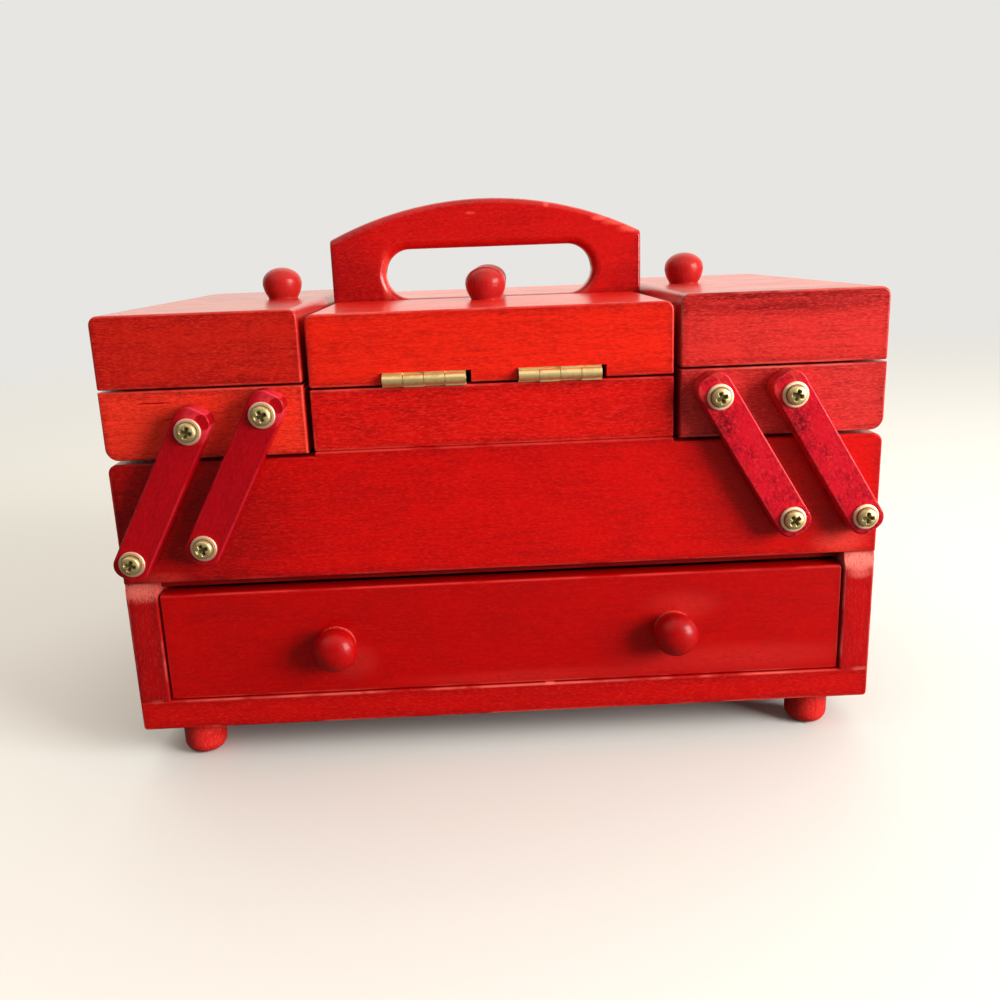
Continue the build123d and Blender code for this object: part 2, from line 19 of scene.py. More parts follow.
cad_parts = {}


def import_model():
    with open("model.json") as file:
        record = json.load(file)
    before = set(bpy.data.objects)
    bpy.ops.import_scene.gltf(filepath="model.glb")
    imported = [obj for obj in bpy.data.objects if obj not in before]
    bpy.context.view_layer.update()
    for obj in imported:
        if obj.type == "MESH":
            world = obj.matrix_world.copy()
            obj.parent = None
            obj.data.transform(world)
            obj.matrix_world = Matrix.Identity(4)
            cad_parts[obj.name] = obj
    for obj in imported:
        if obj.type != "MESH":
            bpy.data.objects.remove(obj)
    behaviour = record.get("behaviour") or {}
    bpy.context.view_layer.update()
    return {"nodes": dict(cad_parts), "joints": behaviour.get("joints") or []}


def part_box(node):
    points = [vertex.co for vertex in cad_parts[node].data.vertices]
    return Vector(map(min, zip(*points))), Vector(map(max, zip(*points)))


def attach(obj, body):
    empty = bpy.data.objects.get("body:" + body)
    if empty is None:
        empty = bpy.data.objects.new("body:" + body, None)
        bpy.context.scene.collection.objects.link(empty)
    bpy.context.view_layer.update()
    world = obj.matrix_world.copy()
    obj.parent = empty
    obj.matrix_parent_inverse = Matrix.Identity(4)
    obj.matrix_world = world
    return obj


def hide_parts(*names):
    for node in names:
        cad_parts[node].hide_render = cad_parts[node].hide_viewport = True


log = logging.getLogger("sewing_box")

MM = 0.001

Colour = tuple[float, float, float]
Point = tuple[float, float, float]
Span = tuple[float, float]


def tint(red: int, green: int, blue: int) -> Colour:
    """Turn a display colour of 0 to 255 into the linear colour that shaders take.

    Args:
        red: Red as shown on a screen.
        green: Green as shown on a screen.
        blue: Blue as shown on a screen.

    Returns:
        The linear colour, each channel from 0 to 1.
    """
    shown = np.array([red, green, blue]) / 255
    linear = np.where(shown <= 0.04045, shown / 12.92, ((shown + 0.055) / 1.055) ** 2.4)
    return tuple(float(channel) for channel in linear)


# ---------------------------------------------------------------- shader maths


class Value:
    """A number or colour inside a material; arithmetic on it adds Math nodes."""

    def __init__(self, shader: "Shader", socket: bpy.types.NodeSocket) -> None:
        """Keep the shader and the output socket that this value comes from."""
        self.shader = shader
        self.socket = socket

    def _math(self, operation: str, *values: Any) -> "Value":
        """Add one Math node that takes the given values in order."""
        sockets = dict(enumerate(values))
        return self.shader.value("ShaderNodeMath", {"operation": operation}, sockets)

    def __add__(self, other: Any) -> "Value":
        """This plus other."""
        return self._math("ADD", self, other)

    __radd__ = __add__

    def __sub__(self, other: Any) -> "Value":
        """This minus other."""
        return self._math("SUBTRACT", self, other)

    def __rsub__(self, other: Any) -> "Value":
        """Other minus this."""
        return self._math("SUBTRACT", other, self)

    def __mul__(self, other: Any) -> "Value":
        """This times other."""
        return self._math("MULTIPLY", self, other)

    __rmul__ = __mul__

    def __truediv__(self, other: Any) -> "Value":
        """This divided by other."""
        return self._math("DIVIDE", self, other)

    def least(self, other: Any) -> "Value":
        """The smaller of this and other."""
        return self._math("MINIMUM", self, other)

    def most(self, other: Any) -> "Value":
        """The larger of this and other."""
        return self._math("MAXIMUM", self, other)

    def size(self) -> "Value":
        """The size of this without its sign."""
        return self._math("ABSOLUTE", self)

    def step(self, low: float, high: float) -> "Value":
        """Rise smoothly from 0 to 1.

        Args:
            low: Value of this at and below which the result is 0.
            high: Value of this at and above which it is 1.

        Returns:
            The result.
        """
        settings = {"interpolation_type": "SMOOTHSTEP"}
        # inputs 1 and 2 of a Map Range node are what it maps from, 3 and 4 what it maps to
        sockets = {0: self, 1: low, 2: high, 3: 0.0, 4: 1.0}
        return self.shader.value("ShaderNodeMapRange", settings, sockets)


class Shader:
    """The node tree of one material or world."""

    def __init__(self, tree: bpy.types.NodeTree) -> None:
        """Start from the given tree with all of its nodes removed."""
        self.tree = tree
        tree.nodes.clear()

    def node(self, kind: str, settings: Mapping[str, Any] | None = None,
             sockets: Mapping[Any, Any] | None = None) -> bpy.types.Node:
        """Add a node.

        Args:
            kind: The node's type name.
            settings: Its properties, set before its sockets.
            sockets: Values or links of its inputs, by name or by index.

        Returns:
            The new node.
        """
        made = self.tree.nodes.new(kind)
        for name, setting in (settings or {}).items():
            setattr(made, name, setting)
        for name, given in (sockets or {}).items():
            if isinstance(given, Value):
                self.tree.links.new(given.socket, made.inputs[name])
            else:
                made.inputs[name].default_value = given
        return made

    def value(self, kind: str, settings: Mapping[str, Any] | None = None,
              sockets: Mapping[Any, Any] | None = None, output: Any = 0) -> Value:
        """Add a node and wrap one of its outputs.

        Args:
            kind: The node's type name.
            settings: Its properties.
            sockets: Values or links of its inputs.
            output: Name or index of the output.

        Returns:
            The output as a value.
        """
        return Value(self, self.node(kind, settings, sockets).outputs[output])

    def split(self, vector: Value) -> list[Value]:
        """The three parts of a vector."""
        parts = self.node("ShaderNodeSeparateXYZ", None, {0: vector})
        return [Value(self, part) for part in parts.outputs]

    def coordinates(self, kind: str = "Object") -> Value:
        """Texture coordinates of the given kind; Object ones are in metres."""
        return self.value("ShaderNodeTexCoord", None, None, kind)

    def attribute(self, name: str) -> Value:
        """The piece's own attribute of the given name."""
        return self.value("ShaderNodeAttribute", {"attribute_name": name}, None, "Fac")

    def seen(self) -> Value:
        """1 for what the camera sees directly, 0 for what lights and reflects in the box."""
        return self.value("ShaderNodeLightPath", None, None, "Is Camera Ray")

    def bump(self, height: Value, strength: float, distance: float) -> Value:
        """A normal tilted by a height; a height of 1 stands for the distance, in metres."""
        sockets = {"Strength": strength, "Distance": distance, "Height": height}
        return self.value("ShaderNodeBump", None, sockets)

    def surface(self, sockets: Mapping[str, Any]) -> Value:
        """A Principled surface with the given values or links."""
        return self.value("ShaderNodeBsdfPrincipled", None, sockets)

    def output(self, surface: Value) -> None:
        """End the material in the given surface."""
        self.node("ShaderNodeOutputMaterial", None, {"Surface": surface})

    def mix(self, share: Any, first: Any, second: Any) -> Value:
        """Blend two colours.

        Args:
            share: 0 for the first colour, 1 for the second.
            first: A linear colour or a value.
            second: A linear colour or a value.

        Returns:
            The blended colour.
        """
        ends = [given if isinstance(given, Value) else (*given, 1.0) for given in (first, second)]
        settings = {"data_type": "RGBA", "clamp_factor": True}
        # inputs 6 and 7 and output 2 of a Mix node are its colours
        return self.value("ShaderNodeMix", settings, {0: share, 6: ends[0], 7: ends[1]}, 2)

    def noise(self, place: Value, pattern: "Pattern", grain: "Axis") -> Value:
        """Noise on stretched coordinates, from 0 to 1 and mostly near the middle.

        Args:
            place: Coordinates in metres.
            pattern: The pattern to draw.
            grain: The axis that it is drawn out along.

        Returns:
            The noise value.
        """
        layer = pattern.value
        stretch = grain.stretch(layer.along, layer.across)
        mapped = self.value("ShaderNodeMapping", None, {"Vector": place, "Scale": stretch})
        sockets = {"Vector": mapped, "Scale": 1.0, "Detail": layer.detail,
                   "Roughness": layer.rough, "Distortion": layer.twist}
        return self.value("ShaderNodeTexNoise", None, sockets)


def new_material(name: str) -> tuple[bpy.types.Material, Shader]:
    """Make an empty material.

    Args:
        name: Its name.

    Returns:
        The material, and the shader that fills it.
    """
    made = bpy.data.materials.new(name)
    made.use_nodes = True
    return made, Shader(made.node_tree)


class Axis(Enum):
    """One of the three axes, such as the one that a board's fibres run along."""

    X = 0
    Y = 1
    Z = 2

    def stretch(self, along: float, across: float) -> Point:
        """Cells per metre on each axis, for a pattern drawn out along this one."""
        return tuple(along if index == self.value else across for index in range(3))


@dataclass(frozen=True)
class Layer:
    """One layer of noise.

    Attributes:
        along: Cells per metre along the fibres or lines.
        across: Cells per metre across them.
        detail: How many finer layers are added.
        twist: How far the pattern is pushed about.
        rough: Strength of the finer layers.
    """

    along: float
    across: float
    detail: float
    twist: float = 0.0
    rough: float = 0.5


class Pattern(Enum):
    """The patterns of the finishes, from the broadest to the finest of wood and of brass."""

    PATCHES = Layer(42, 42, 3.0, 0.6)
    BANDS = Layer(7, 90, 3.0, 1.2)
    CLOUD = Layer(85, 85, 2.0, 0.8)
    STREAKS = Layer(60, 900, 4.0, 0.5, 0.65)
    PEEL = Layer(520, 520, 2.0)
    CRACKLE = Layer(620, 620, 3.0, 1.2, 0.6)
    FLECKS = Layer(560, 2300, 3.0, 0.3, 0.7)
    FIBRE = Layer(240, 2600, 2.0)
    TARNISH = Layer(330, 330, 4.0, 0.5)
    SCRATCHES = Layer(220, 5200, 2.0)


@dataclass(frozen=True)
class Board:
    """The space that a board fills, from which its material finds its edges.

    Attributes:
        low: Lowest corner, in metres, in the board's own turned frame.
        high: Highest corner.
        pivot: Point that the turned frame is measured from.
        lean: Turn about Y, in degrees, that brings the board upright.
        twin: Axis across which a pair of like boards faces each other, if there is a pair.
        thickness: Thickness of each board of the pair, in millimetres.
    """

    low: Point
    high: Point
    pivot: Point = (0.0, 0.0, 0.0)
    lean: float = 0.0
    twin: Axis | None = None
    thickness: float = 0.0

    @classmethod
    def of(cls, nodes: Sequence[str], twin: Axis | None, thickness: float) -> "Board":
        """Find the board, or pair of boards, that fills some frame nodes.

        Args:
            nodes: Names of nodes that make one block.
            twin: Axis across which a pair of like boards faces each other, if it is a pair.
            thickness: Thickness of each board of the pair, in millimetres.

        Returns:
            The board, as large as the nodes' common box.
        """
        boxes = [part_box(node) for node in nodes]
        low = tuple(min(box[0][index] for box in boxes) for index in range(3))
        high = tuple(max(box[1][index] for box in boxes) for index in range(3))
        return cls(low, high, twin=twin, thickness=thickness)

    @classmethod
    def without_edges(cls, node: str) -> "Board":
        """Make a space so much wider than a frame node that none of its edges comes near.

        Args:
            node: Name of the node.

        Returns:
            The space.
        """
        low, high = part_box(node)
        wide = Vector((1, 1, 1))
        return cls(tuple(low - wide), tuple(high + wide))

    def place(self, shader: Shader) -> Value:
        """Find coordinates in the board's frame: moved to the pivot, then turned about Y.

        Args:
            shader: The material being built.

        Returns:
            The coordinates, in metres.
        """
        place = shader.coordinates()
        if not self.lean and not any(self.pivot):
            return place
        moved = {"Vector": place, "Location": [-part for part in self.pivot]}
        place = shader.value("ShaderNodeMapping", None, moved)
        turned = {"Vector": place, "Rotation": (0.0, math.radians(self.lean), 0.0)}
        return shader.value("ShaderNodeMapping", None, turned)

    def edge_distance(self, shader: Shader, place: Value) -> Value:
        """Distance to the nearest edge of the box, in metres.

        A point on a face has one of its three distances to the box's sides near nought, and the
        next smallest, which is the middle one of the three, is its distance to an edge.

        Args:
            shader: The material being built.
            place: Coordinates in the board's frame.

        Returns:
            The middle one of the three distances.
        """
        near = []
        for axis, along, low, high in zip(Axis, shader.split(place), self.low, self.high):
            if axis is self.twin:
                along = (along - (low + high) / 2).size()
                low, high = (high - low) / 2 - self.thickness * MM, (high - low) / 2
            near.append((along - low).least(high - along).size())
        return near[0].least(near[1]).most(near[0].most(near[1]).least(near[2]))


# ---------------------------------------------------------------- finishes


MARK_DEPTH = (0.010, 0.016)  # metres behind the front over which a mark fades
MARK_RIM = 1.6  # squared distance from its middle, in reaches, at which a mark has faded
MARK_SWAY = 4.0  # how far noise moves that rim
MARK_CLEAR = 0.85  # share of the squared clear reach at which a mark begins


@dataclass(frozen=True)
class Mark:
    """A ragged oval on a board's front: rubbed or pooled finish, or painted highlight or shade.

    Attributes:
        x: Its middle, in millimetres.
        z: Its middle, in millimetres.
        reach_x: Half of its width.
        reach_z: Half of its height.
        strength: How strongly it shows.
        ragged: How far its rim wanders, as a share of its reach.
        clear: Share of its reach, from the middle, that it leaves clear.
    """

    x: float
    z: float
    reach_x: float
    reach_z: float
    strength: float
    ragged: float
    clear: float = 0.0

    def share(self, shader: Shader, place: Value, noise: Value, front: float) -> Value:
        """Its strength inside, falling to nought at its ragged rim.

        Args:
            shader: The material being built.
            place: Coordinates in the board's frame.
            noise: Noise that the rim follows.
            front: Y of the board's front, in metres.

        Returns:
            The strength at each point.
        """
        across, depth, up = shader.split(place)
        across = (across - self.x * MM) / (self.reach_x * MM)
        up = (up - self.z * MM) / (self.reach_z * MM)
        away = across * across + up * up
        swayed = away + (noise - 0.5) * (MARK_SWAY * self.ragged)
        share = (1 - swayed.step(0.0, MARK_RIM)) * self.strength
        if self.clear:
            share = share * away.step(self.clear**2 * MARK_CLEAR, self.clear**2)
        return share * (1 - (depth - front).step(*MARK_DEPTH))


@dataclass(frozen=True)
class WoodMix:
    """What all red wood shares: how much each pattern darkens or lightens it, and where.

    A finish's own strengths multiply these weights.  A span is a pair of values between which a
    pattern, or a distance in metres, comes in.

    Attributes:
        streaks: Darkening by the long streaks.
        bands: Darkening by the broad bands of growth.
        pores: Darkening by the open pores.
        patches: Darkening by patches of uneven dye.
        flecks: Darkening between the fine flecks.
        crackle: Darkening by crackled dye.
        cloud: How much that drifts over the board.
        least: Darkening that is everywhere.
        pale_flecks: Lightening on the flecks.
        pale_crackle: Lightening between the crackles.
        pore_span: Span of the fibre pattern that makes pores.
        fleck_span: Span of the fleck pattern that turns pale.
        crackle_span: Span of the crackle pattern that turns pale.
        rim_span: Distances from an edge within which it is rubbed through.
        rim_patches: Span of the patches in which it is rubbed through.
        rubbed_span: Span of the flecks that show in a pale mark, wear and painted highlight alike.
        rubbed_least: Share of a pale mark that shows between them.
        skirt_span: Span of the flecks that show in pooled lacquer.
        skirt_flecks: How much they show.
        skirt_least: Share of pooled lacquer that shows between them.
        patchy_gloss: How much the patches change the roughness.
        pore_gloss: How much the pores add to the roughness.
        relief: Height of the streaks, fibres, brushed unevenness and flecks in the bump.
        bump_strength: Strength of the bump.
        bump_distance: Its height, in metres.
        coat_roughness: Roughness of the top coat.
        sheen: Specular level of the wood under the top coat.
    """

    streaks: float = 2.2
    bands: float = 0.9
    pores: float = 0.7
    patches: float = 1.6
    flecks: float = 3.0
    crackle: float = 3.6
    cloud: float = 0.9
    least: float = 0.1
    pale_flecks: float = 0.4
    pale_crackle: float = 0.3
    pore_span: Span = (0.55, 0.75)
    fleck_span: Span = (0.48, 0.75)
    crackle_span: Span = (0.56, 0.7)
    rim_span: Span = (0.0003, 0.0011)
    rim_patches: Span = (0.38, 0.6)
    rubbed_span: Span = (0.35, 0.65)
    rubbed_least: float = 0.45
    skirt_span: Span = (0.4, 0.65)
    skirt_flecks: float = 0.5
    skirt_least: float = 0.2
    patchy_gloss: float = 0.16
    pore_gloss: float = 0.12
    relief: tuple[float, float, float, float] = (0.35, 0.5, 0.8, 0.35)
    bump_strength: float = 0.32
    bump_distance: float = 0.00016
    coat_roughness: float = 0.18
    sheen: float = 0.1


MIX = WoodMix()


@dataclass(frozen=True)
class RedWood:
    """Red-dyed wood under brushed lacquer.

    Attributes:
        dye: Colour of the dyed wood.
        deep: Colour where the dye has pooled, in pores and along edges, and of painted shade.
        pale: Colour where light shows through rubbed lacquer, and of painted highlights.
        figure: Strength of the long streaks.
        mottle: Strength of the patches of uneven dye.
        speckle: Strength of the fine pale flecks.
        edge_shade: Strength of the darker band along the edges.
        edge_band: Width of that band, in millimetres.
        worn: Strength of the rubbed line on the edges themselves.
        roughness: Roughness of the lacquer.
        coat: Weight of the clear top coat.
        coat_ior: Refraction index of the top coat.
        crackle: Strength of the fine crackled pattern of thick dye.
        grain: Axis that the fibres run along.
        rubbed: Places drawn pale: rubbed finish, and painted highlights and reflections.
        pooled: Places drawn darker: deeper dye and cracks, and painted shade.
        skirted: Whether the piece's own skirt attribute marks pale pooled lacquer.
    """

    dye: Colour
    deep: Colour = tint(120, 4, 8)
    pale: Colour = tint(232, 82, 68)
    figure: float = 0.4
    mottle: float = 0.35
    speckle: float = 0.3
    edge_shade: float = 0.35
    edge_band: float = 4.0
    worn: float = 0.5
    roughness: float = 0.34
    coat: float = 0.3
    coat_ior: float = 1.34
    crackle: float = 0.0
    grain: Axis = Axis.X
    rubbed: tuple[Mark, ...] = ()
    pooled: tuple[Mark, ...] = ()
    skirted: bool = False

    def material(self, name: str, board: Board) -> bpy.types.Material:
        """Build the finish for one board.

        Args:
            name: Name of the material.
            board: The space that the board fills.

        Returns:
            The material.
        """
        made, shader = new_material(name)
        place = board.place(shader)
        streaks, bands, fibre, patches, flecks, peel = (
            shader.noise(place, pattern, self.grain)
            for pattern in (Pattern.STREAKS, Pattern.BANDS, Pattern.FIBRE, Pattern.PATCHES,
                            Pattern.FLECKS, Pattern.PEEL))
        pores = fibre.step(*MIX.pore_span)
        edge = board.edge_distance(shader, place)
        ragged = edge + (patches - 0.5) * (self.edge_band * MM)
        band = 1 - ragged.step(0.0, self.edge_band * MM)
        rim = (1 - edge.step(*MIX.rim_span)) * patches.step(*MIX.rim_patches)

        dark = (0.5 - streaks) * (MIX.streaks * self.figure)
        dark = dark + (0.5 - bands) * (MIX.bands * self.figure)
        dark = dark + (patches - 0.5) * (MIX.patches * self.mottle) + band * self.edge_shade
        dark = dark + pores * (MIX.pores * self.figure)
        dark = dark + (0.5 - flecks) * (MIX.flecks * self.speckle) + MIX.least
        light = flecks.step(*MIX.fleck_span) * (MIX.pale_flecks * self.speckle) + rim * self.worn
        if self.crackle:
            crackle = shader.noise(place, Pattern.CRACKLE, self.grain)
            drift = (shader.noise(place, Pattern.CLOUD, self.grain) - 0.5) * MIX.cloud
            dark = dark + (0.5 - crackle + drift) * (MIX.crackle * self.crackle)
            pale = crackle.step(*MIX.crackle_span)
            light = light + pale * (MIX.pale_crackle * self.crackle)
        # dark marks: cracks and darker ends, and painted shade where less light falls
        for mark in self.pooled:
            dark = dark + mark.share(shader, place, patches, board.low[1])
        # pale marks: rubbed wear and chips, and painted highlights and reflections
        for mark in self.rubbed:
            share = mark.share(shader, place, flecks, board.low[1])
            light = light + share * (flecks.step(*MIX.rubbed_span) + MIX.rubbed_least)
        if self.skirted:
            flecked = flecks.step(*MIX.skirt_span) * MIX.skirt_flecks + MIX.skirt_least
            light = light + shader.attribute("skirt") * flecked
        colour = shader.mix(dark, self.dye, self.deep)
        colour = shader.mix(light, colour, self.pale)

        gloss = self.roughness + (patches - 0.5) * MIX.patchy_gloss + pores * MIX.pore_gloss
        layers = zip((streaks, fibre, peel, flecks), MIX.relief)
        height = sum(layer * share for layer, share in layers)
        bump = shader.bump(height, MIX.bump_strength, MIX.bump_distance)
        shader.output(shader.surface({
            "Base Color": colour, "Roughness": gloss, "Normal": bump, "Coat Weight": self.coat,
            "Coat Roughness": MIX.coat_roughness, "Coat IOR": self.coat_ior,
            "Specular IOR Level": MIX.sheen}))
        return made


@dataclass(frozen=True)
class Brass:
    """Brass that has been handled: fine turning or rolling lines and a brown bloom in places.

    Attributes:
        metal: Colour of the clean metal.
        dulling: Share of the surface that has dulled.
        roughness: Roughness of the clean metal.
        bloom: Colour where it has dulled.
        dull_span: Span of the tarnish pattern that dulls.
        dull_gloss: How much dulled metal adds to the roughness.
        line_gloss: How much the fine lines change it.
        relief: Height of the fine lines and of the tarnish in the bump.
        bump_strength: Strength of the bump.
        bump_distance: Its height, in metres.
        lines: Axis that the fine lines run along.
        hollowed: Whether the piece's own hollow attribute marks where shade is painted dark.
        painted_shade: Colour of that painted shade.
        painted_shade_share: How strongly the painted shade covers.
    """

    metal: Colour
    dulling: float
    roughness: float
    bloom: Colour = tint(128, 96, 48)
    dull_span: Span = (0.42, 0.75)
    dull_gloss: float = 0.3
    line_gloss: float = 0.12
    relief: tuple[float, float] = (0.6, 0.4)
    bump_strength: float = 0.25
    bump_distance: float = 0.00006
    lines: Axis = Axis.X
    hollowed: bool = False
    painted_shade: Colour = tint(58, 44, 22)
    painted_shade_share: float = 0.75

    def material(self, name: str) -> bpy.types.Material:
        """Build the finish.

        Args:
            name: Name of the material.

        Returns:
            The material.
        """
        made, shader = new_material(name)
        place = shader.coordinates()
        scratches = shader.noise(place, Pattern.SCRATCHES, self.lines)
        tarnish = shader.noise(place, Pattern.TARNISH, self.lines)
        dull = tarnish.step(*self.dull_span) * self.dulling
        colour = shader.mix(dull, self.metal, self.bloom)
        # painted shade: darkens the screws' recesses and the washers beside each head
        if self.hollowed:
            painted_shade = shader.attribute("hollow")
            colour = shader.mix(painted_shade * self.painted_shade_share, colour, self.painted_shade)
            dull = dull + painted_shade
        rough = self.roughness + dull * self.dull_gloss + (scratches - 0.5) * self.line_gloss
        height = scratches * self.relief[0] + tarnish * self.relief[1]
        bump = shader.bump(height, self.bump_strength, self.bump_distance)
        shader.output(shader.surface({
            "Base Color": colour, "Roughness": rough, "Metallic": 1.0, "Normal": bump}))
        return made


class Finish(Enum):
    """The finishes of this box, by where they are used."""

    BASE = RedWood(tint(192, 6, 4), pale=tint(236, 96, 84), speckle=0.35, figure=0.45, worn=0.65)
    SIDE = RedWood(tint(184, 3, 6), pale=tint(242, 124, 112), speckle=0.2, figure=0.45,
                   worn=0.35)
    FOOT = RedWood(tint(214, 34, 30), pale=tint(240, 120, 112), speckle=0.5, edge_shade=0.1)
    # painted shade: the deck's darker dye stands for the shadow under the main box
    DECK = RedWood(tint(140, 2, 4), speckle=0.2, edge_shade=0.2, worn=0.1)
    DRAWER = RedWood(tint(180, 2, 2), pale=tint(222, 60, 54), edge_shade=0.15, worn=0.75)
    MAIN = RedWood(tint(202, 6, 4), pale=tint(226, 60, 50), speckle=0.5, figure=0.45)
    CENTRE = RedWood(tint(212, 15, 8), speckle=0.6, figure=0.5)
    CENTRE_LID = RedWood(tint(230, 32, 12), speckle=0.4)
    LEFT_LID = RedWood(tint(194, 26, 14), speckle=0.6, figure=0.7)
    LEFT_TRAY = RedWood(tint(238, 50, 30), speckle=0.6, figure=0.5)
    RIGHT_LID = RedWood(tint(212, 42, 38), pale=tint(236, 112, 98), speckle=0.5, figure=0.55)
    RIGHT_TRAY = RedWood(tint(206, 44, 42), pale=tint(236, 112, 98), speckle=0.55, figure=0.55)
    HANDLE = RedWood(tint(190, 13, 12), speckle=0.4, figure=0.45, roughness=0.28, coat=0.6,
                     coat_ior=1.5)
    LEFT_ARM = RedWood(tint(168, 1, 14), deep=tint(100, 0, 8), pale=tint(214, 50, 64),
                       figure=0.3, edge_shade=0.1, worn=0.25)
    RIGHT_ARM = RedWood(tint(200, 9, 34), deep=tint(112, 0, 18), speckle=0.4, mottle=0.9,
                        crackle=0.7, edge_shade=0.15, worn=0.2)
    LID_KNOB = RedWood(tint(178, 32, 30), figure=0.35, mottle=0.6, roughness=0.36, coat=0.4,
                       edge_shade=0.0, worn=0.0)
    DRAWER_KNOB = RedWood(tint(168, 2, 4), figure=0.35, mottle=0.6, roughness=0.36, coat=0.4,
                          edge_shade=0.0, worn=0.0)
    INSIDE = RedWood(tint(186, 34, 26), deep=tint(112, 10, 10), speckle=0.4, figure=0.7,
                     roughness=0.55, coat=0.0, mottle=0.6)
    SCREW = Brass(tint(222, 204, 146), dulling=0.5, roughness=0.42, hollowed=True)
    WASHER = Brass(tint(248, 210, 180), dulling=0.15, roughness=0.52, hollowed=True)
    HINGE = Brass(tint(252, 226, 162), dulling=0.3, roughness=0.44)


# ---------------------------------------------------------------- meshes


MERGE = 1e-7  # metres within which the points of a pole are one


class Solid:
    """Collects grid surfaces and makes one closed mesh piece of them."""

    def __init__(self, name: str) -> None:
        """Start an empty piece.

        Args:
            name: Name of the finished object.
        """
        self.name = name
        self.points: list[np.ndarray] = []
        self.faces: list[np.ndarray] = []
        self.shares: list[np.ndarray] = []
        self.count = 0

    def add(self, grid: np.ndarray, share: np.ndarray, wrap_rows: bool = False) -> None:
        """Add a surface whose columns close on themselves.

        Each cell between two rows and two neighbouring columns becomes one face.

        Args:
            grid: Points, shaped rows by columns by 3.
            share: A number for each point, for the piece's own attribute.
            wrap_rows: Whether the last row joins the first.
        """
        rows, columns = grid.shape[:2]
        index = np.arange(rows * columns).reshape(rows, columns) + self.count
        lower = index if wrap_rows else index[:-1]
        upper = np.roll(index, -1, axis=0) if wrap_rows else index[1:]
        quads = np.stack([lower, np.roll(lower, -1, axis=1), np.roll(upper, -1, axis=1), upper],
                         axis=-1)
        self.points.append(grid.reshape(-1, 3))
        self.faces.append(quads.reshape(-1, 4))
        self.shares.append(share.ravel())
        self.count += rows * columns

    def finish(self, attribute: str, sharp: float) -> bpy.types.Object:
        """Make the object: poles merged, faces outward, smooth but for sharp edges.

        Args:
            attribute: Name for the attribute that keeps the shares.
            sharp: Angle in degrees past which an edge stays sharp.

        Returns:
            The object, standing at the origin.
        """
        mesh = bpy.data.meshes.new(self.name)
        mesh.from_pydata(np.concatenate(self.points).tolist(), [],
                         np.concatenate(self.faces).tolist())
        shares = np.concatenate(self.shares)
        mesh.attributes.new(attribute, "FLOAT", "POINT").data.foreach_set("value", shares)
        work = bmesh.new()
        work.from_mesh(mesh)
        bmesh.ops.remove_doubles(work, verts=work.verts, dist=MERGE)
        bmesh.ops.recalc_face_normals(work, faces=work.faces)
        work.to_mesh(mesh)
        work.free()
        mesh.polygons.foreach_set("use_smooth", np.ones(len(mesh.polygons), bool))
        mesh.set_sharp_from_angle(angle=math.radians(sharp))
        made = bpy.data.objects.new(self.name, mesh)
        bpy.context.scene.collection.objects.link(made)
        return made


@dataclass(frozen=True)
class Stand:
    """Where a turned shape stands: its foot's centre and its axis, which is Y or Z."""

    centre: Point
    axis: Point

    def carry(self, radius: np.ndarray, angle: np.ndarray, height: np.ndarray) -> np.ndarray:
        """Place cylindrical coordinates in the box's frame.

        A point is the centre, plus the height along the axis, plus the radius times the cosine
        of the angle along X and times its sine along the axis square to both.

        Args:
            radius: Distances from the axis, in metres.
            angle: Angles about the axis, in radians.
            height: Distances along the axis, in metres.

        Returns:
            Points, with a last side of 3.
        """
        axis = np.array(self.axis, float)
        first = np.array([1.0, 0.0, 0.0])
        second = np.cross(axis, first)
        across = (radius * np.cos(angle))[..., None] * first
        beside = (radius * np.sin(angle))[..., None] * second
        return np.array(self.centre) + (across + beside) + height[..., None] * axis


def turned(stand: Stand, profile: np.ndarray, around: int, oval: float = 0.0) -> np.ndarray:
    """Turn a profile about an axis.

    The radius at each height is carried round the axis, and swells and shrinks twice a turn by
    the oval share, as a hand-turned shape does.

    Args:
        stand: Where the shape stands.
        profile: Radius and height of each row, in metres.
        around: Number of columns.
        oval: Share of the radius by which it is out of round.

    Returns:
        A grid of points.
    """
    angle = np.linspace(0, 2 * np.pi, around, endpoint=False)[None, :]
    radius = profile[:, :1] * (1 + oval * np.cos(2 * angle))
    height = np.broadcast_to(profile[:, 1:], radius.shape)
    return stand.carry(radius, np.broadcast_to(angle, radius.shape), height)


@dataclass(frozen=True)
class Pool:
    """Lacquer pooled round a knob's foot.

    Attributes:
        reach: How far it reaches out at the foot, in millimetres.
        height: Height at which that has fallen to a third.
        spread: Height, in these heights, at which its pale tinge has fallen to a third.
    """

    reach: float
    height: float
    spread: float = 1.2

    def tinge(self, height: np.ndarray) -> np.ndarray:
        """How pale each height is: half the reach, times a bell curve of the height."""
        return np.exp(-((height / (self.spread * self.height)) ** 2)) * self.reach / 2


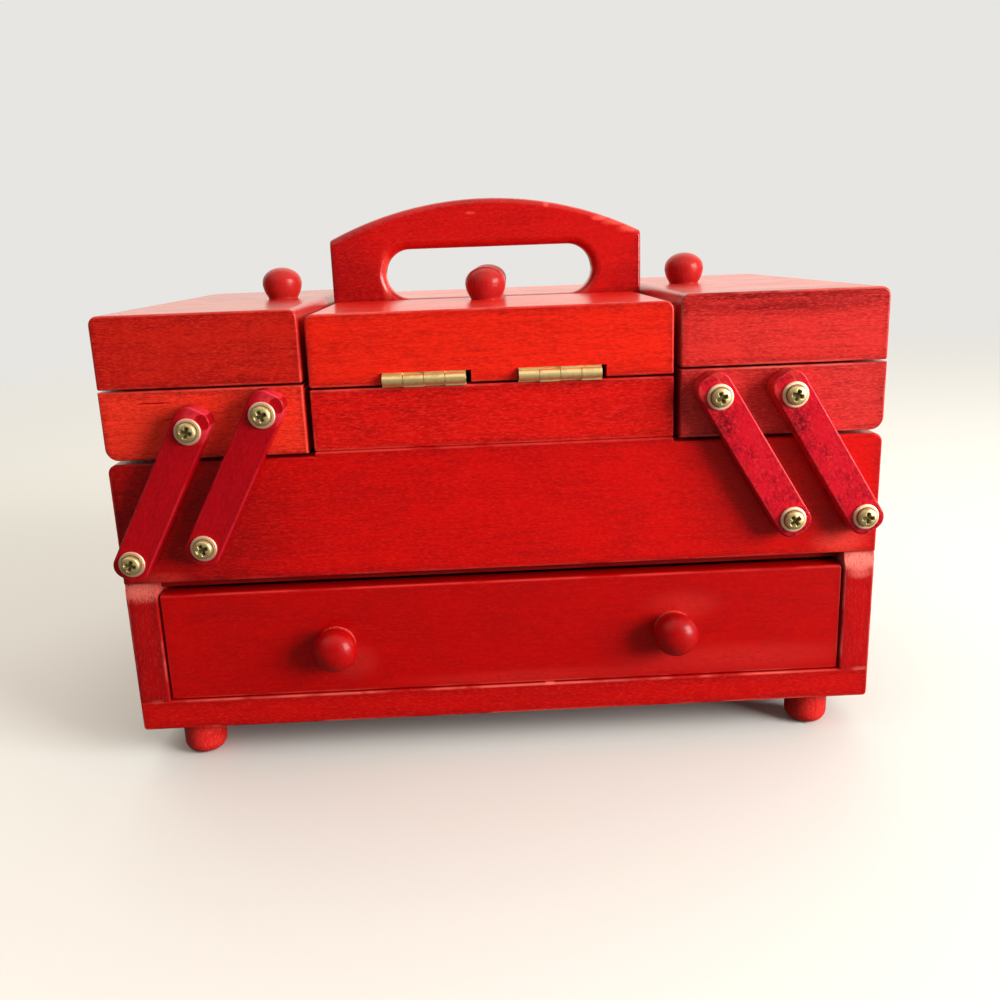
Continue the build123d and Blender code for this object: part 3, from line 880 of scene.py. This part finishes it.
@dataclass
class Knobs:
    """The turned knobs of the lids and the drawer, each with lacquer pooled round its foot.

    Attributes:
        diameter: Largest diameter, at the waist.
        foot_diameter: Diameter of the foot.
        height: Height from the foot to the crown.
        waist: Height of the widest ring.
        lid_pool: Pooled lacquer round a lid's knob.
        drawer_pool: Pooled lacquer round a drawer's knob.
        oval: Share of the radius by which a knob is out of round.
        rows: Rows of points below the waist, and above it.
        around: Points in each row.
        sharp: Angle in degrees past which an edge stays sharp.
    """

    diameter: float = 16.9
    foot_diameter: float = 11.4
    height: float = 13.4
    waist: float = 7.0
    lid_pool: Pool = Pool(0.6, 0.55)
    drawer_pool: Pool = Pool(1.75, 0.8)
    oval: float = 0.006
    rows: int = 22
    around: int = 48
    sharp: float = 40.0

    def profile(self, pool: Pool) -> np.ndarray:
        """Radius and height from the foot to the crown.

        Both are ellipses that meet at the waist.  Below it the radius is the largest radius times
        the cosine of an angle that reaches the foot's radius at the foot; above it the angle runs
        on to a right angle.  The pooled lacquer adds a skirt that dies away exponentially.

        Args:
            pool: The pooled lacquer.

        Returns:
            Rows of radius and height, in millimetres, closed at both ends.
        """
        start = math.acos(self.foot_diameter / self.diameter)
        lower = np.linspace(-start, 0, self.rows, endpoint=False)
        upper = np.linspace(0, np.pi / 2, self.rows)
        depth = self.waist / math.sin(start)
        angle = np.concatenate([lower, upper])
        reach = np.where(angle < 0, depth, self.height - self.waist)
        radius = self.diameter / 2 * np.cos(angle)
        height = self.waist + reach * np.sin(angle)
        radius = radius + pool.reach * np.exp(-height / pool.height)
        rows = np.stack([radius, height], axis=-1)
        return np.concatenate([[[0.0, 0.0]], rows])

    def build(self, name: str, node: str, body: str, stands: Sequence[Stand]) -> None:
        """Turn the knobs that replace one frame node.

        Args:
            name: Name of the piece.
            node: The frame node that it stands for.
            body: The body that it rides on.
            stands: Where each knob stands.
        """
        on_drawer = body == "drawer"
        pool = self.drawer_pool if on_drawer else self.lid_pool
        profile = self.profile(pool)
        skirt = pool.tinge(profile[:, 1:])
        solid = Solid(name)
        for stand in stands:
            grid = turned(stand, profile * MM, self.around, self.oval)
            solid.add(grid, np.broadcast_to(skirt, grid.shape[:2]))
        piece = solid.finish("skirt", self.sharp)
        finish = Finish.DRAWER_KNOB if on_drawer else Finish.LID_KNOB
        wood = replace(finish.value, grain=Axis.Y if on_drawer else Axis.Z, skirted=True)
        piece.data.materials.append(wood.material(name, Board.without_edges(node)))
        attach(piece, body)
        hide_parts(node)
        log.info("%s: %d turned", name, len(stands))

    def build_all(self) -> None:
        """Turn the knobs of the four lids and of the drawer."""
        for lid in ("front_lid", "rear_lid", "left_tray_lid", "right_tray_lid"):
            low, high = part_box(f"{lid}_knob")
            centre = ((low.x + high.x) / 2, (low.y + high.y) / 2, low.z)
            self.build(f"{lid}_turned_knob", f"{lid}_knob", lid, [Stand(centre, (0, 0, 1))])
        low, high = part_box("drawer_knobs")
        inset = self.diameter / 2 * MM
        stands = [Stand((x, high.y, (low.z + high.z) / 2), (0, -1, 0))
                  for x in (low.x + inset, high.x - inset)]
        self.build("drawer_turned_knobs", "drawer_knobs", "drawer", stands)


@dataclass
class PivotHardware:
    """The pan-head screws and washers at the ends of the swinging arms.

    Attributes:
        head: Diameter of a screw's head.
        head_height: Height of the head.
        crown: Height of its domed part.
        head_rim: Height of the bevel under the head's side.
        head_bevel: Width of that bevel.
        shank: Diameter of the shank.
        length: Length of the shank.
        tip: Diameter of the shank's blunt tip.
        tip_length: Length over which it narrows to that.
        recess_reach: Length of a wing of the cross recess, from the middle.
        recess_width: Half of a wing's width.
        recess_depth: Depth of the recess.
        wing_side: Steepness of the wings' sides.
        wing_end: Steepness of the wings' ends.
        rings: Rings of points on the crown.
        crowding: Power that draws these rings outward.
        head_around: Points in each ring.
        washer: Outer diameter of a washer.
        washer_thickness: Its thickness.
        washer_play: Air between the washer's bore and the shank.
        washer_bevel: Bevel of its bore.
        washer_foot: Bevel under its rim.
        washer_rim: Steps of its rounded rim: inset, and level as a share of the thickness.
        painted_shade_ring: Where painted shade beside the head starts and ends, from its side.
        washer_around: Points round a washer.
        first_turn: Angle at which the first screw of a body stopped, in radians.
        turn_step: Angle by which each screw stopped past the last one.
        sharp: Angle in degrees past which an edge stays sharp.
    """

    head: float = 7.0
    head_height: float = 2.5
    crown: float = 1.1
    head_rim: float = 0.25
    head_bevel: float = 0.15
    shank: float = 3.6
    length: float = 15.6
    tip: float = 1.2
    tip_length: float = 1.8
    recess_reach: float = 2.25
    recess_width: float = 0.8
    recess_depth: float = 1.5
    wing_side: float = 1.25
    wing_end: float = 1.6
    rings: int = 30
    crowding: float = 0.85
    head_around: int = 96
    washer: float = 9.8
    washer_thickness: float = 0.9
    washer_play: float = 0.02
    washer_bevel: float = 0.1
    washer_foot: float = 0.12
    washer_rim: tuple[Span, ...] = ((0.0, 0.5), (0.08, 0.78), (0.26, 0.94), (0.5, 1.0))
    painted_shade_ring: Span = (0.2, 0.45)
    washer_around: int = 64
    first_turn: float = 0.35
    turn_step: float = 0.93
    sharp: float = 55.0

    def head_grid(self, stand: Stand, turn: float) -> tuple[np.ndarray, np.ndarray]:
        """The head's top, side and underside with its cross recess, and the shank.

        The crown is a quarter ellipse over the radius.  The recess lowers it by its depth times
        two factors: one falls from 1 on a wing's middle line to 0 at the wing's edge, and one
        falls from 1 at the centre to 0 at the wing's end.

        Args:
            stand: Where the head stands on its washer.
            turn: Angle of the recess, in radians.

        Returns:
            A grid of points from the crown's centre to the tip of the shank, and how deep in the
            recess each point lies, from 0 to 1.
        """
        radius = self.head / 2
        reach = np.linspace(0, 1, self.rings) ** self.crowding * radius
        angle = np.linspace(0, 2 * np.pi, self.head_around, endpoint=False)
        across, around = np.meshgrid(reach, angle, indexing="ij")
        top = self.head_height - self.crown
        crown = top + self.crown * np.sqrt(np.clip(1 - (across / radius) ** 2, 0, 1))
        x = np.abs(across * np.cos(around - turn))
        y = np.abs(across * np.sin(around - turn))
        beside = np.minimum(x, y) / self.recess_width
        outward = np.maximum(x, y) / self.recess_reach
        wing = np.clip(self.wing_side * (1 - beside**2), 0, 1)
        wing = wing * np.clip(self.wing_end * (1 - outward**3), 0, 1)
        shank = self.shank / 2
        below = np.array([[radius, self.head_rim], [radius - self.head_bevel, 0.0], [shank, 0.0],
                          [shank, self.tip_length - self.length], [self.tip / 2, -self.length],
                          [0.0, -self.length]])
        low = np.broadcast_to(below[:, :1], (len(below), len(angle)))
        low_height = np.broadcast_to(below[:, 1:], low.shape)
        rows = np.concatenate([across, low]) * MM
        heights = np.concatenate([crown - self.recess_depth * wing, low_height]) * MM
        hollow = np.concatenate([wing, np.zeros(low.shape)])
        return stand.carry(rows, np.broadcast_to(angle, rows.shape), heights), hollow

    def washer_grid(self, stand: Stand) -> tuple[np.ndarray, np.ndarray]:
        """A flat ring with a rounded outer top edge and a bevelled bore.

        Args:
            stand: Where the washer lies; its under side is the stand's own level.

        Returns:
            A grid of points, and its painted shade: 1 beside the screw's head, 0 elsewhere.
        """
        outer, thick, head = self.washer / 2, self.washer_thickness, self.head / 2
        inner, bevel, foot = self.shank / 2 + self.washer_play, self.washer_bevel, self.washer_foot
        grime_start, grime_end = self.painted_shade_ring
        rim = [[outer - inset, level * thick] for inset, level in self.washer_rim]
        section = np.array([[inner, bevel], [inner + bevel, 0.0], [outer - foot, 0.0],
                            [outer, foot], *rim, [head + grime_end, thick],
                            [head + grime_start, thick], [inner + bevel, thick],
                            [inner, thick - bevel]])
        grid = turned(stand, section * MM, self.washer_around)
        radius, level = section.T
        # painted shade: the washer's top beside the screw's head, where the head shades it
        in_painted_shade = (radius < head + (grime_start + grime_end) / 2) & (level > thick / 2)
        return grid, np.broadcast_to(in_painted_shade[:, None] * 1.0, grid.shape[:2])

    def stands(self, pivots: Sequence[np.ndarray], node: str) -> list[Stand]:
        """Places on the outer faces of the front and the back arms.

        Args:
            pivots: A point on each pivot axis, in metres.
            node: The frame node that holds the washers.

        Returns:
            A stand for each washer, front ones first.
        """
        low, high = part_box(node)
        thick = self.washer_thickness * MM
        return [Stand((x, y, z), (0, way, 0))
                for y, way in ((low.y + thick, -1), (high.y - thick, 1)) for x, _, z in pivots]

    def build(self, name: str, body: str, pivots: Sequence[np.ndarray]) -> None:
        """Make one body's screws and washers.

        Args:
            name: Start of the two frame nodes' names.
            body: The body that they ride on.
            pivots: A point on each pivot axis, in metres.
        """
        screws, washers = Solid(f"{name}_cross_screws"), Solid(f"{name}_flat_washers")
        for index, stand in enumerate(self.stands(pivots, f"{name}_washers")):
            ring, painted_shade = self.washer_grid(stand)
            washers.add(ring, painted_shade, wrap_rows=True)
            up = np.array(stand.centre) + self.washer_thickness * MM * np.array(stand.axis)
            turn = self.first_turn + self.turn_step * index
            screws.add(*self.head_grid(Stand(tuple(up), stand.axis), turn))
        for solid, kind, finish, slot in (
                (screws, "screws", Finish.SCREW, "screw_brass"),
                (washers, "washers", Finish.WASHER, "washer_brass")):
            piece = solid.finish("hollow", self.sharp)
            piece.data.materials.append(finish.value.material(piece.name))
            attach(piece, body)
            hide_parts(f"{name}_{kind}")
            log.info("%s: %s", piece.name, finish.name.lower())

    def build_all(self, pivots: Mapping[str, np.ndarray]) -> None:
        """Make all screws and washers.

        Args:
            pivots: A point on each joint's axis, by the joint's name.
        """
        low = []
        for side in ("left", "right"):
            inner, outer = (pivots[f"{side}_{place}_arm_swing"] for place in ("inner", "outer"))
            top = pivots[f"{side}_tray_pivot"]
            low += [inner, outer]
            self.build(f"{side}_tray", f"{side}_tray", [top, top + outer - inner])
        self.build("low_pivot", "carcass", low)


@dataclass(frozen=True)
class Cover:
    """What one frame node's boards are finished with.

    Attributes:
        finish: The finish.
        grain: Axis of the fibres.
        joined: Other nodes that make one block with this one, with no edge between them.
        twin: Axis across which two like boards of the node face each other, if there are two.
        thickness: Thickness of each of the two, in millimetres.
        polish: Factor on the weight of the clear top coat.
    """

    finish: Finish
    grain: Axis
    joined: tuple[str, ...] = ()
    twin: Axis | None = None
    thickness: float = 0.0
    polish: float = 1.0


@dataclass
class Dressing:
    """Gives every board of the frame its finish.

    Attributes:
        wall: Thickness of the walls of the trays, lids and middle part.
        end_board: Thickness of the main box's end boards.
        base_side: Thickness of the base's side panels.
        drawer_side: Thickness of the drawer's sides.
        arm_thickness: Thickness of an arm.
        arm_half_width: Half of its width.
        arm_low_end: How far it reaches below its lower pivot.
        arm_top_end: How far it reaches above its lower pivot.
        top_polish: Factor on the weight of the top coat of the lids' tops.
        covers: The cover of each frame node of plain boards.
        rubbed: Pale marks of each node: rubbed wear and chips, and painted highlights.
        pooled: Dark marks of each node: cracks and darker ends, and painted shade.
        arm_end_highlights: Painted highlights on the arms' upper ends, by side, from the lower
            pivot.
    """

    wall: float = 8.0
    end_board: float = 9.0
    base_side: float = 11.7
    drawer_side: float = 6.5
    arm_thickness: float = 8.0
    arm_half_width: float = 6.6
    arm_low_end: float = 6.7
    arm_top_end: float = 63.8
    top_polish: float = 1.7
    covers: dict[str, Cover] = field(default_factory=lambda: {
        "feet": Cover(Finish.FOOT, Axis.Z),
        "base_bottom_board": Cover(Finish.BASE, Axis.X),
        "base_back_board": Cover(Finish.BASE, Axis.X),
        "deck_board": Cover(Finish.DECK, Axis.X),
        "main_front_board": Cover(Finish.MAIN, Axis.X),
        "main_back_board": Cover(Finish.MAIN, Axis.X),
        "centre_front_board": Cover(Finish.CENTRE, Axis.X),
        "centre_back_board": Cover(Finish.CENTRE, Axis.X),
        "handle_board": Cover(Finish.HANDLE, Axis.X),
        "drawer_front": Cover(Finish.DRAWER, Axis.X),
        "drawer_back": Cover(Finish.INSIDE, Axis.X),
        "drawer_bottom": Cover(Finish.INSIDE, Axis.X),
        "left_tray_floor": Cover(Finish.INSIDE, Axis.Y),
        "right_tray_floor": Cover(Finish.INSIDE, Axis.Y),
    })
    rubbed: dict[str, tuple[Mark, ...]] = field(default_factory=lambda: {
        "base_bottom_board": (Mark(17.0, 27.0, 1.8, 0.7, 1.2, 0.4),),
        "base_side_panels": (
            Mark(-139.0, 73.0, 8.0, 4.0, 0.75, 1.6),
            Mark(139.0, 72.5, 9.0, 3.8, 1.0, 0.5),
            Mark(139.5, 67.5, 4.5, 2.2, 0.5, 1.2)),
        "main_front_board": (
            Mark(131.0, 81.0, 10.0, 5.0, 1.0, 2.0),
            Mark(-129.0, 78.0, 9.0, 2.6, 0.4, 1.5)),
        "drawer_front": (
            Mark(-60.0, 40.0, 9.0, 7.0, 0.25, 1.6),
            Mark(70.0, 57.0, 14.0, 6.0, 0.25, 1.6),
            Mark(92.0, 34.0, 45.0, 6.0, 0.25, 1.6),
            Mark(10.0, 30.0, 50.0, 3.0, 0.2, 1.6)),
        "handle_board": (
            Mark(-6.4, 210.5, 2.2, 0.7, 0.6, 0.8),
            Mark(26.5, 213.0, 1.3, 1.3, 0.7, 0.8),
            Mark(49.5, 206.5, 3.4, 1.1, 0.9, 0.8),
            # painted reflection: the handle's rounded right shoulder drawn pale
            Mark(63.0, 201.6, 5.5, 1.5, 0.6, 0.3),
            Mark(56.0, 204.6, 5.5, 1.3, 0.5, 0.3),
            # painted highlight: the lit left rim of the handle's slot
            Mark(-44.0, 184.5, 2.2, 11.0, 0.5, 0.3)),
    })
    pooled: dict[str, tuple[Mark, ...]] = field(default_factory=lambda: {
        # painted shade: a darker band along the right lid's top front edge
        "right_tray_lid_long_walls": (Mark(102.0, 175.5, 56.0, 7.5, 0.5, 0.12),),
        "right_tray_lid_top": (Mark(102.0, 172.5, 56.0, 6.0, 0.4, 0.12),),
        # painted shade: the main board darker towards its left end, where less light falls
        "main_front_board": (Mark(-135.0, 98.0, 60.0, 50.0, 0.5, 0.15),),
        # the handle darker towards its lower ends
        "handle_board": (
            Mark(-64.0, 165.0, 22.0, 48.0, 0.45, 0.12),
            Mark(66.0, 158.0, 20.0, 34.0, 0.35, 0.12)),
        # painted shade: the left base side panel darker, where less light falls
        "base_side_panels": (Mark(-139.0, 48.0, 16.0, 60.0, 0.3, 0.1),),
        "left_tray_long_walls": (
            Mark(-125.0, 145.2, 6.5, 0.25, 1.2, 0.06),
            Mark(-118.0, 139.0, 4.0, 0.2, 0.9, 0.06)),
    })
    # painted highlights: the arms' rounded upper ends drawn pale, as lit from the upper right
    arm_end_highlights: dict[str, tuple[Mark, ...]] = field(default_factory=lambda: {
        "left": (Mark(3.4, 60.6, 7.0, 7.0, 0.9, 0.1, 0.42),),
        "right": (Mark(-1.0, 61.5, 6.5, 6.0, 0.3, 0.2, 0.5),),
    })

    def __post_init__(self) -> None:
        """Add the covers of boards that stand in pairs, of the trays and of the lids."""
        for name, finish, grain, thickness in (
                ("base_side_panels", Finish.SIDE, Axis.Z, self.base_side),
                ("main_end_boards", Finish.MAIN, Axis.Y, self.end_board),
                ("centre_side_walls", Finish.MAIN, Axis.Y, self.wall),
                ("drawer_sides", Finish.INSIDE, Axis.Y, self.drawer_side)):
            self.covers[name] = Cover(finish, grain, (), Axis.X, thickness)
        for name, finish, top in (
                ("left_tray", Finish.LEFT_TRAY, ()),
                ("right_tray", Finish.RIGHT_TRAY, ()),
                ("front_lid", Finish.CENTRE_LID, ("front_lid_top",)),
                ("rear_lid", Finish.CENTRE_LID, ("rear_lid_top",)),
                ("left_tray_lid", Finish.LEFT_LID, ("left_tray_lid_top",)),
                ("right_tray_lid", Finish.RIGHT_LID, ("right_tray_lid_top",))):
            long_walls = f"{name}_long_walls"
            block = (long_walls, *top)
            self.covers[long_walls] = Cover(finish, Axis.X, block, Axis.Y, self.wall)
            self.covers[f"{name}_end_walls"] = Cover(finish, Axis.Y, block, Axis.X, self.wall)
            for node in top:
                self.covers[node] = Cover(finish, Axis.X, block, polish=self.top_polish)

    def put(self, node: bpy.types.Object, material: bpy.types.Material) -> None:
        """Assign one material to every slot of a frame node.

        Args:
            node: The frame node.
            material: The material.
        """
        if not node.material_slots:
            node.data.materials.append(material)
        for place in node.material_slots:
            place.material = material
        log.info("%s: finished", node.name)

    def dress_boards(self, nodes: Mapping[str, bpy.types.Object]) -> None:
        """Finish the plain boards.

        Args:
            nodes: The frame's nodes, by name.
        """
        for name, cover in self.covers.items():
            board = Board.of((name, *cover.joined), cover.twin, cover.thickness)
            wood = cover.finish.value
            wood = replace(wood, grain=cover.grain, coat=wood.coat * cover.polish,
                           rubbed=self.rubbed.get(name, ()), pooled=self.pooled.get(name, ()))
            self.put(nodes[name], wood.material(name, board))

    def dress_arms(self, nodes: Mapping[str, bpy.types.Object],
                   pivots: Mapping[str, np.ndarray]) -> None:
        """Finish the arms, with the fibres along each leaning arm.

        Args:
            nodes: The frame's nodes, by name.
            pivots: A point on each joint's axis, by the joint's name.
        """
        half = self.arm_half_width * MM
        for side, finish in (("left", Finish.LEFT_ARM), ("right", Finish.RIGHT_ARM)):
            across, _, up = pivots[f"{side}_tray_pivot"] - pivots[f"{side}_inner_arm_swing"]
            lean = math.degrees(math.atan2(across, up))
            # the rubbed slot carries the painted highlights on the arms' upper ends
            wood = replace(finish.value, grain=Axis.Z, rubbed=self.arm_end_highlights[side])
            for place in ("inner", "outer"):
                name = f"{side}_{place}_arms"
                pivot = pivots[f"{side}_{place}_arm_swing"]
                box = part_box(name)
                board = Board((-half, box[0].y - pivot[1], -self.arm_low_end * MM),
                              (half, box[1].y - pivot[1], self.arm_top_end * MM),
                              tuple(pivot), -lean, Axis.Y, self.arm_thickness)
                self.put(nodes[name], wood.material(name, board))

    def dress_hinges(self, nodes: Mapping[str, bpy.types.Object]) -> None:
        """Finish the hinge leaves and pins, with fine lines along the pins.

        Args:
            nodes: The frame's nodes, by name.
        """
        for name, node in nodes.items():
            if "hinge" in name:
                lines = Axis.X if name.startswith(("front", "rear", "centre")) else Axis.Y
                self.put(node, replace(Finish.HINGE.value, lines=lines).material(name))


# ---------------------------------------------------------------- studio


@dataclass(frozen=True)
class Lamp:
    """A square lamp that faces the box.

    Attributes:
        name: Its name.
        place: Its centre, in metres.
        size: Its side, in metres.
        power: Its power, in watts.
        colour: Its colour.
        aim: The point that it faces.
    """

    name: str
    place: Point
    size: float
    power: float
    colour: Colour
    aim: Point = (0.0, 0.0, 0.1)

    def hang(self) -> None:
        """Add the lamp to the scene."""
        data = bpy.data.lights.new(self.name, "AREA")
        data.size = self.size
        data.energy = self.power
        data.color = self.colour
        lamp = bpy.data.objects.new(self.name, data)
        lamp.location = self.place
        aim = Vector(self.aim) - Vector(self.place)
        lamp.rotation_euler = aim.to_track_quat("-Z", "Y").to_euler()
        bpy.context.scene.collection.objects.link(lamp)


@dataclass(frozen=True)
class Room:
    """The light that comes from all round: from behind the box, from above and from the right.

    A span is a pair of values of the direction's part along an axis, between which a light
    comes in.

    Attributes:
        colour: Its colour.
        least: Light from every direction.
        behind: Light that the room behind the box adds.
        above: Light that the ceiling adds.
        right: Light that the right side adds.
        behind_span: Span of the part along Y.
        above_span: Span of the part along Z.
        right_span: Span of the part along X.
    """

    colour: Colour = (1.0, 0.95, 0.84)
    least: float = 0.05
    behind: float = 1.08
    above: float = 1.0
    right: float = 0.2
    behind_span: Span = (0.1, 0.8)
    above_span: Span = (0.3, 0.9)
    right_span: Span = (0.2, 1.0)

    def level(self, shader: Shader) -> Value:
        """Its strength in each direction: the least, plus what each of the three sides adds.

        Args:
            shader: The world being built.

        Returns:
            The strength.
        """
        side, depth, height = shader.split(shader.coordinates("Generated"))
        level = self.least + depth.step(*self.behind_span) * self.behind
        level = level + height.step(*self.above_span) * self.above
        return level + side.step(*self.right_span) * self.right


@dataclass
class Studio:
    """A plain pale floor, soft light from the upper right and the camera.

    Attributes:
        camera_place: Where the camera stands, in millimetres.
        yaw: Degrees that it turns to the right of +Y.
        pitch: Degrees that it looks up.
        roll: Degrees that it turns clockwise about its own axis.
        lens: Focal length.
        sensor: Width of the sensor.
        near: Nearest distance that it sees, in metres.
        lamps: A large lamp at the right and a weak one at the left.
        room: The light from all round.
        floor_size: Side of the floor, in metres.
        floor_colour: Colour of the floor.
        floor_in_reflections: Its colour where it lights the box.
        floor_roughness: Its roughness.
        floor_fade: Distances, in metres, over which it fades into the backdrop.
        backdrop: Colour of the backdrop.
    """

    camera_place: Point = (-9.46, -443.05, 195.91)
    yaw: float = 1.483
    pitch: float = -14.614
    roll: float = -2.122
    lens: float = 34.955
    sensor: float = 36.0
    near: float = 0.01
    lamps: tuple[Lamp, ...] = (
        Lamp("window", (1.22, -0.8, 0.5), 0.8, 37.0, (1.0, 0.985, 0.95)),
        Lamp("fill", (-0.9, -1.0, 0.9), 1.2, 1.2, (0.95, 0.97, 1.0)))
    room: Room = Room()
    floor_size: float = 12.0
    floor_colour: Colour = (0.76, 0.75, 0.725)
    floor_in_reflections: Colour = (0.13, 0.12, 0.11)
    floor_roughness: float = 0.7
    floor_fade: Span = (0.25, 2.2)
    backdrop: Colour = (0.80, 0.79, 0.765)

    def set_camera(self) -> None:
        """Place the camera.

        It looks along +Y turned right by yaw and up by pitch, then rolls about its own axis.
        """
        yaw, pitch, roll = (math.radians(a) for a in (self.yaw, self.pitch, self.roll))
        forward = Vector((math.sin(yaw) * math.cos(pitch), math.cos(yaw) * math.cos(pitch),
                          math.sin(pitch)))
        level = Vector((math.cos(yaw), -math.sin(yaw), 0))
        upward = level.cross(forward)
        right = level * math.cos(roll) + upward * math.sin(roll)
        up = upward * math.cos(roll) - level * math.sin(roll)
        turn = Matrix((right, up, -forward)).transposed().to_4x4()
        data = bpy.data.cameras.new("camera")
        data.lens = self.lens
        data.sensor_width = self.sensor
        data.sensor_fit = "HORIZONTAL"
        data.clip_start = self.near
        camera = bpy.data.objects.new("camera", data)
        camera.matrix_world = Matrix.Translation(Vector(self.camera_place) * MM) @ turn
        bpy.context.scene.collection.objects.link(camera)
        bpy.context.scene.camera = camera

    def set_world(self) -> None:
        """Surround the box with the room's light, and the camera's view with the backdrop."""
        world = bpy.data.worlds.new("room")
        world.use_nodes = True
        bpy.context.scene.world = world
        shader = Shader(world.node_tree)
        room, plain = (
            shader.value("ShaderNodeBackground", None, {"Color": (*colour, 1.0), "Strength": level})
            for colour, level in ((self.room.colour, self.room.level(shader)),
                                  (self.backdrop, 1.0)))
        both = shader.value("ShaderNodeMixShader", None, {0: shader.seen(), 1: room, 2: plain})
        shader.node("ShaderNodeOutputWorld", None, {"Surface": both})

    def lay_floor(self) -> None:
        """Lay a plain square floor at Z = 0, which fades into the backdrop."""
        half = self.floor_size / 2
        mesh = bpy.data.meshes.new("floor")
        mesh.from_pydata([(-half, -half, 0), (half, -half, 0), (half, half, 0), (-half, half, 0)],
                         [], [(0, 1, 2, 3)])
        floor = bpy.data.objects.new("floor", mesh)
        bpy.context.scene.collection.objects.link(floor)
        made, shader = new_material("floor")
        seen = shader.seen()
        colour = shader.mix(seen, self.floor_in_reflections, self.floor_colour)
        surface = shader.surface({"Base Color": colour, "Roughness": self.floor_roughness})
        away = shader.value("ShaderNodeVectorMath", {"operation": "LENGTH"},
                            {0: shader.coordinates()}, "Value")
        far = shader.value("ShaderNodeEmission", None,
                           {"Color": (*self.backdrop, 1.0), "Strength": 1.0})
        blend = away.step(*self.floor_fade) * seen
        shader.output(shader.value("ShaderNodeMixShader", None, {0: blend, 1: surface, 2: far}))
        mesh.materials.append(made)

    def build(self) -> None:
        """Set up the camera, the light and the floor."""
        self.set_camera()
        self.set_world()
        for lamp in self.lamps:
            lamp.hang()
        self.lay_floor()
        bpy.context.scene.view_settings.view_transform = "Standard"


def main() -> None:
    """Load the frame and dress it."""
    logging.basicConfig(level=logging.INFO, format="%(name)s: %(message)s")
    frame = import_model()
    nodes = frame["nodes"]
    pivots = {joint["name"]: np.array(joint["pos_m"])
              for joint in frame["joints"] if "pos_m" in joint}
    Studio().build()
    dressing = Dressing()
    dressing.dress_boards(nodes)
    dressing.dress_arms(nodes, pivots)
    dressing.dress_hinges(nodes)
    Knobs().build_all()
    PivotHardware().build_all(pivots)


if __name__ == "__main__":
    main()
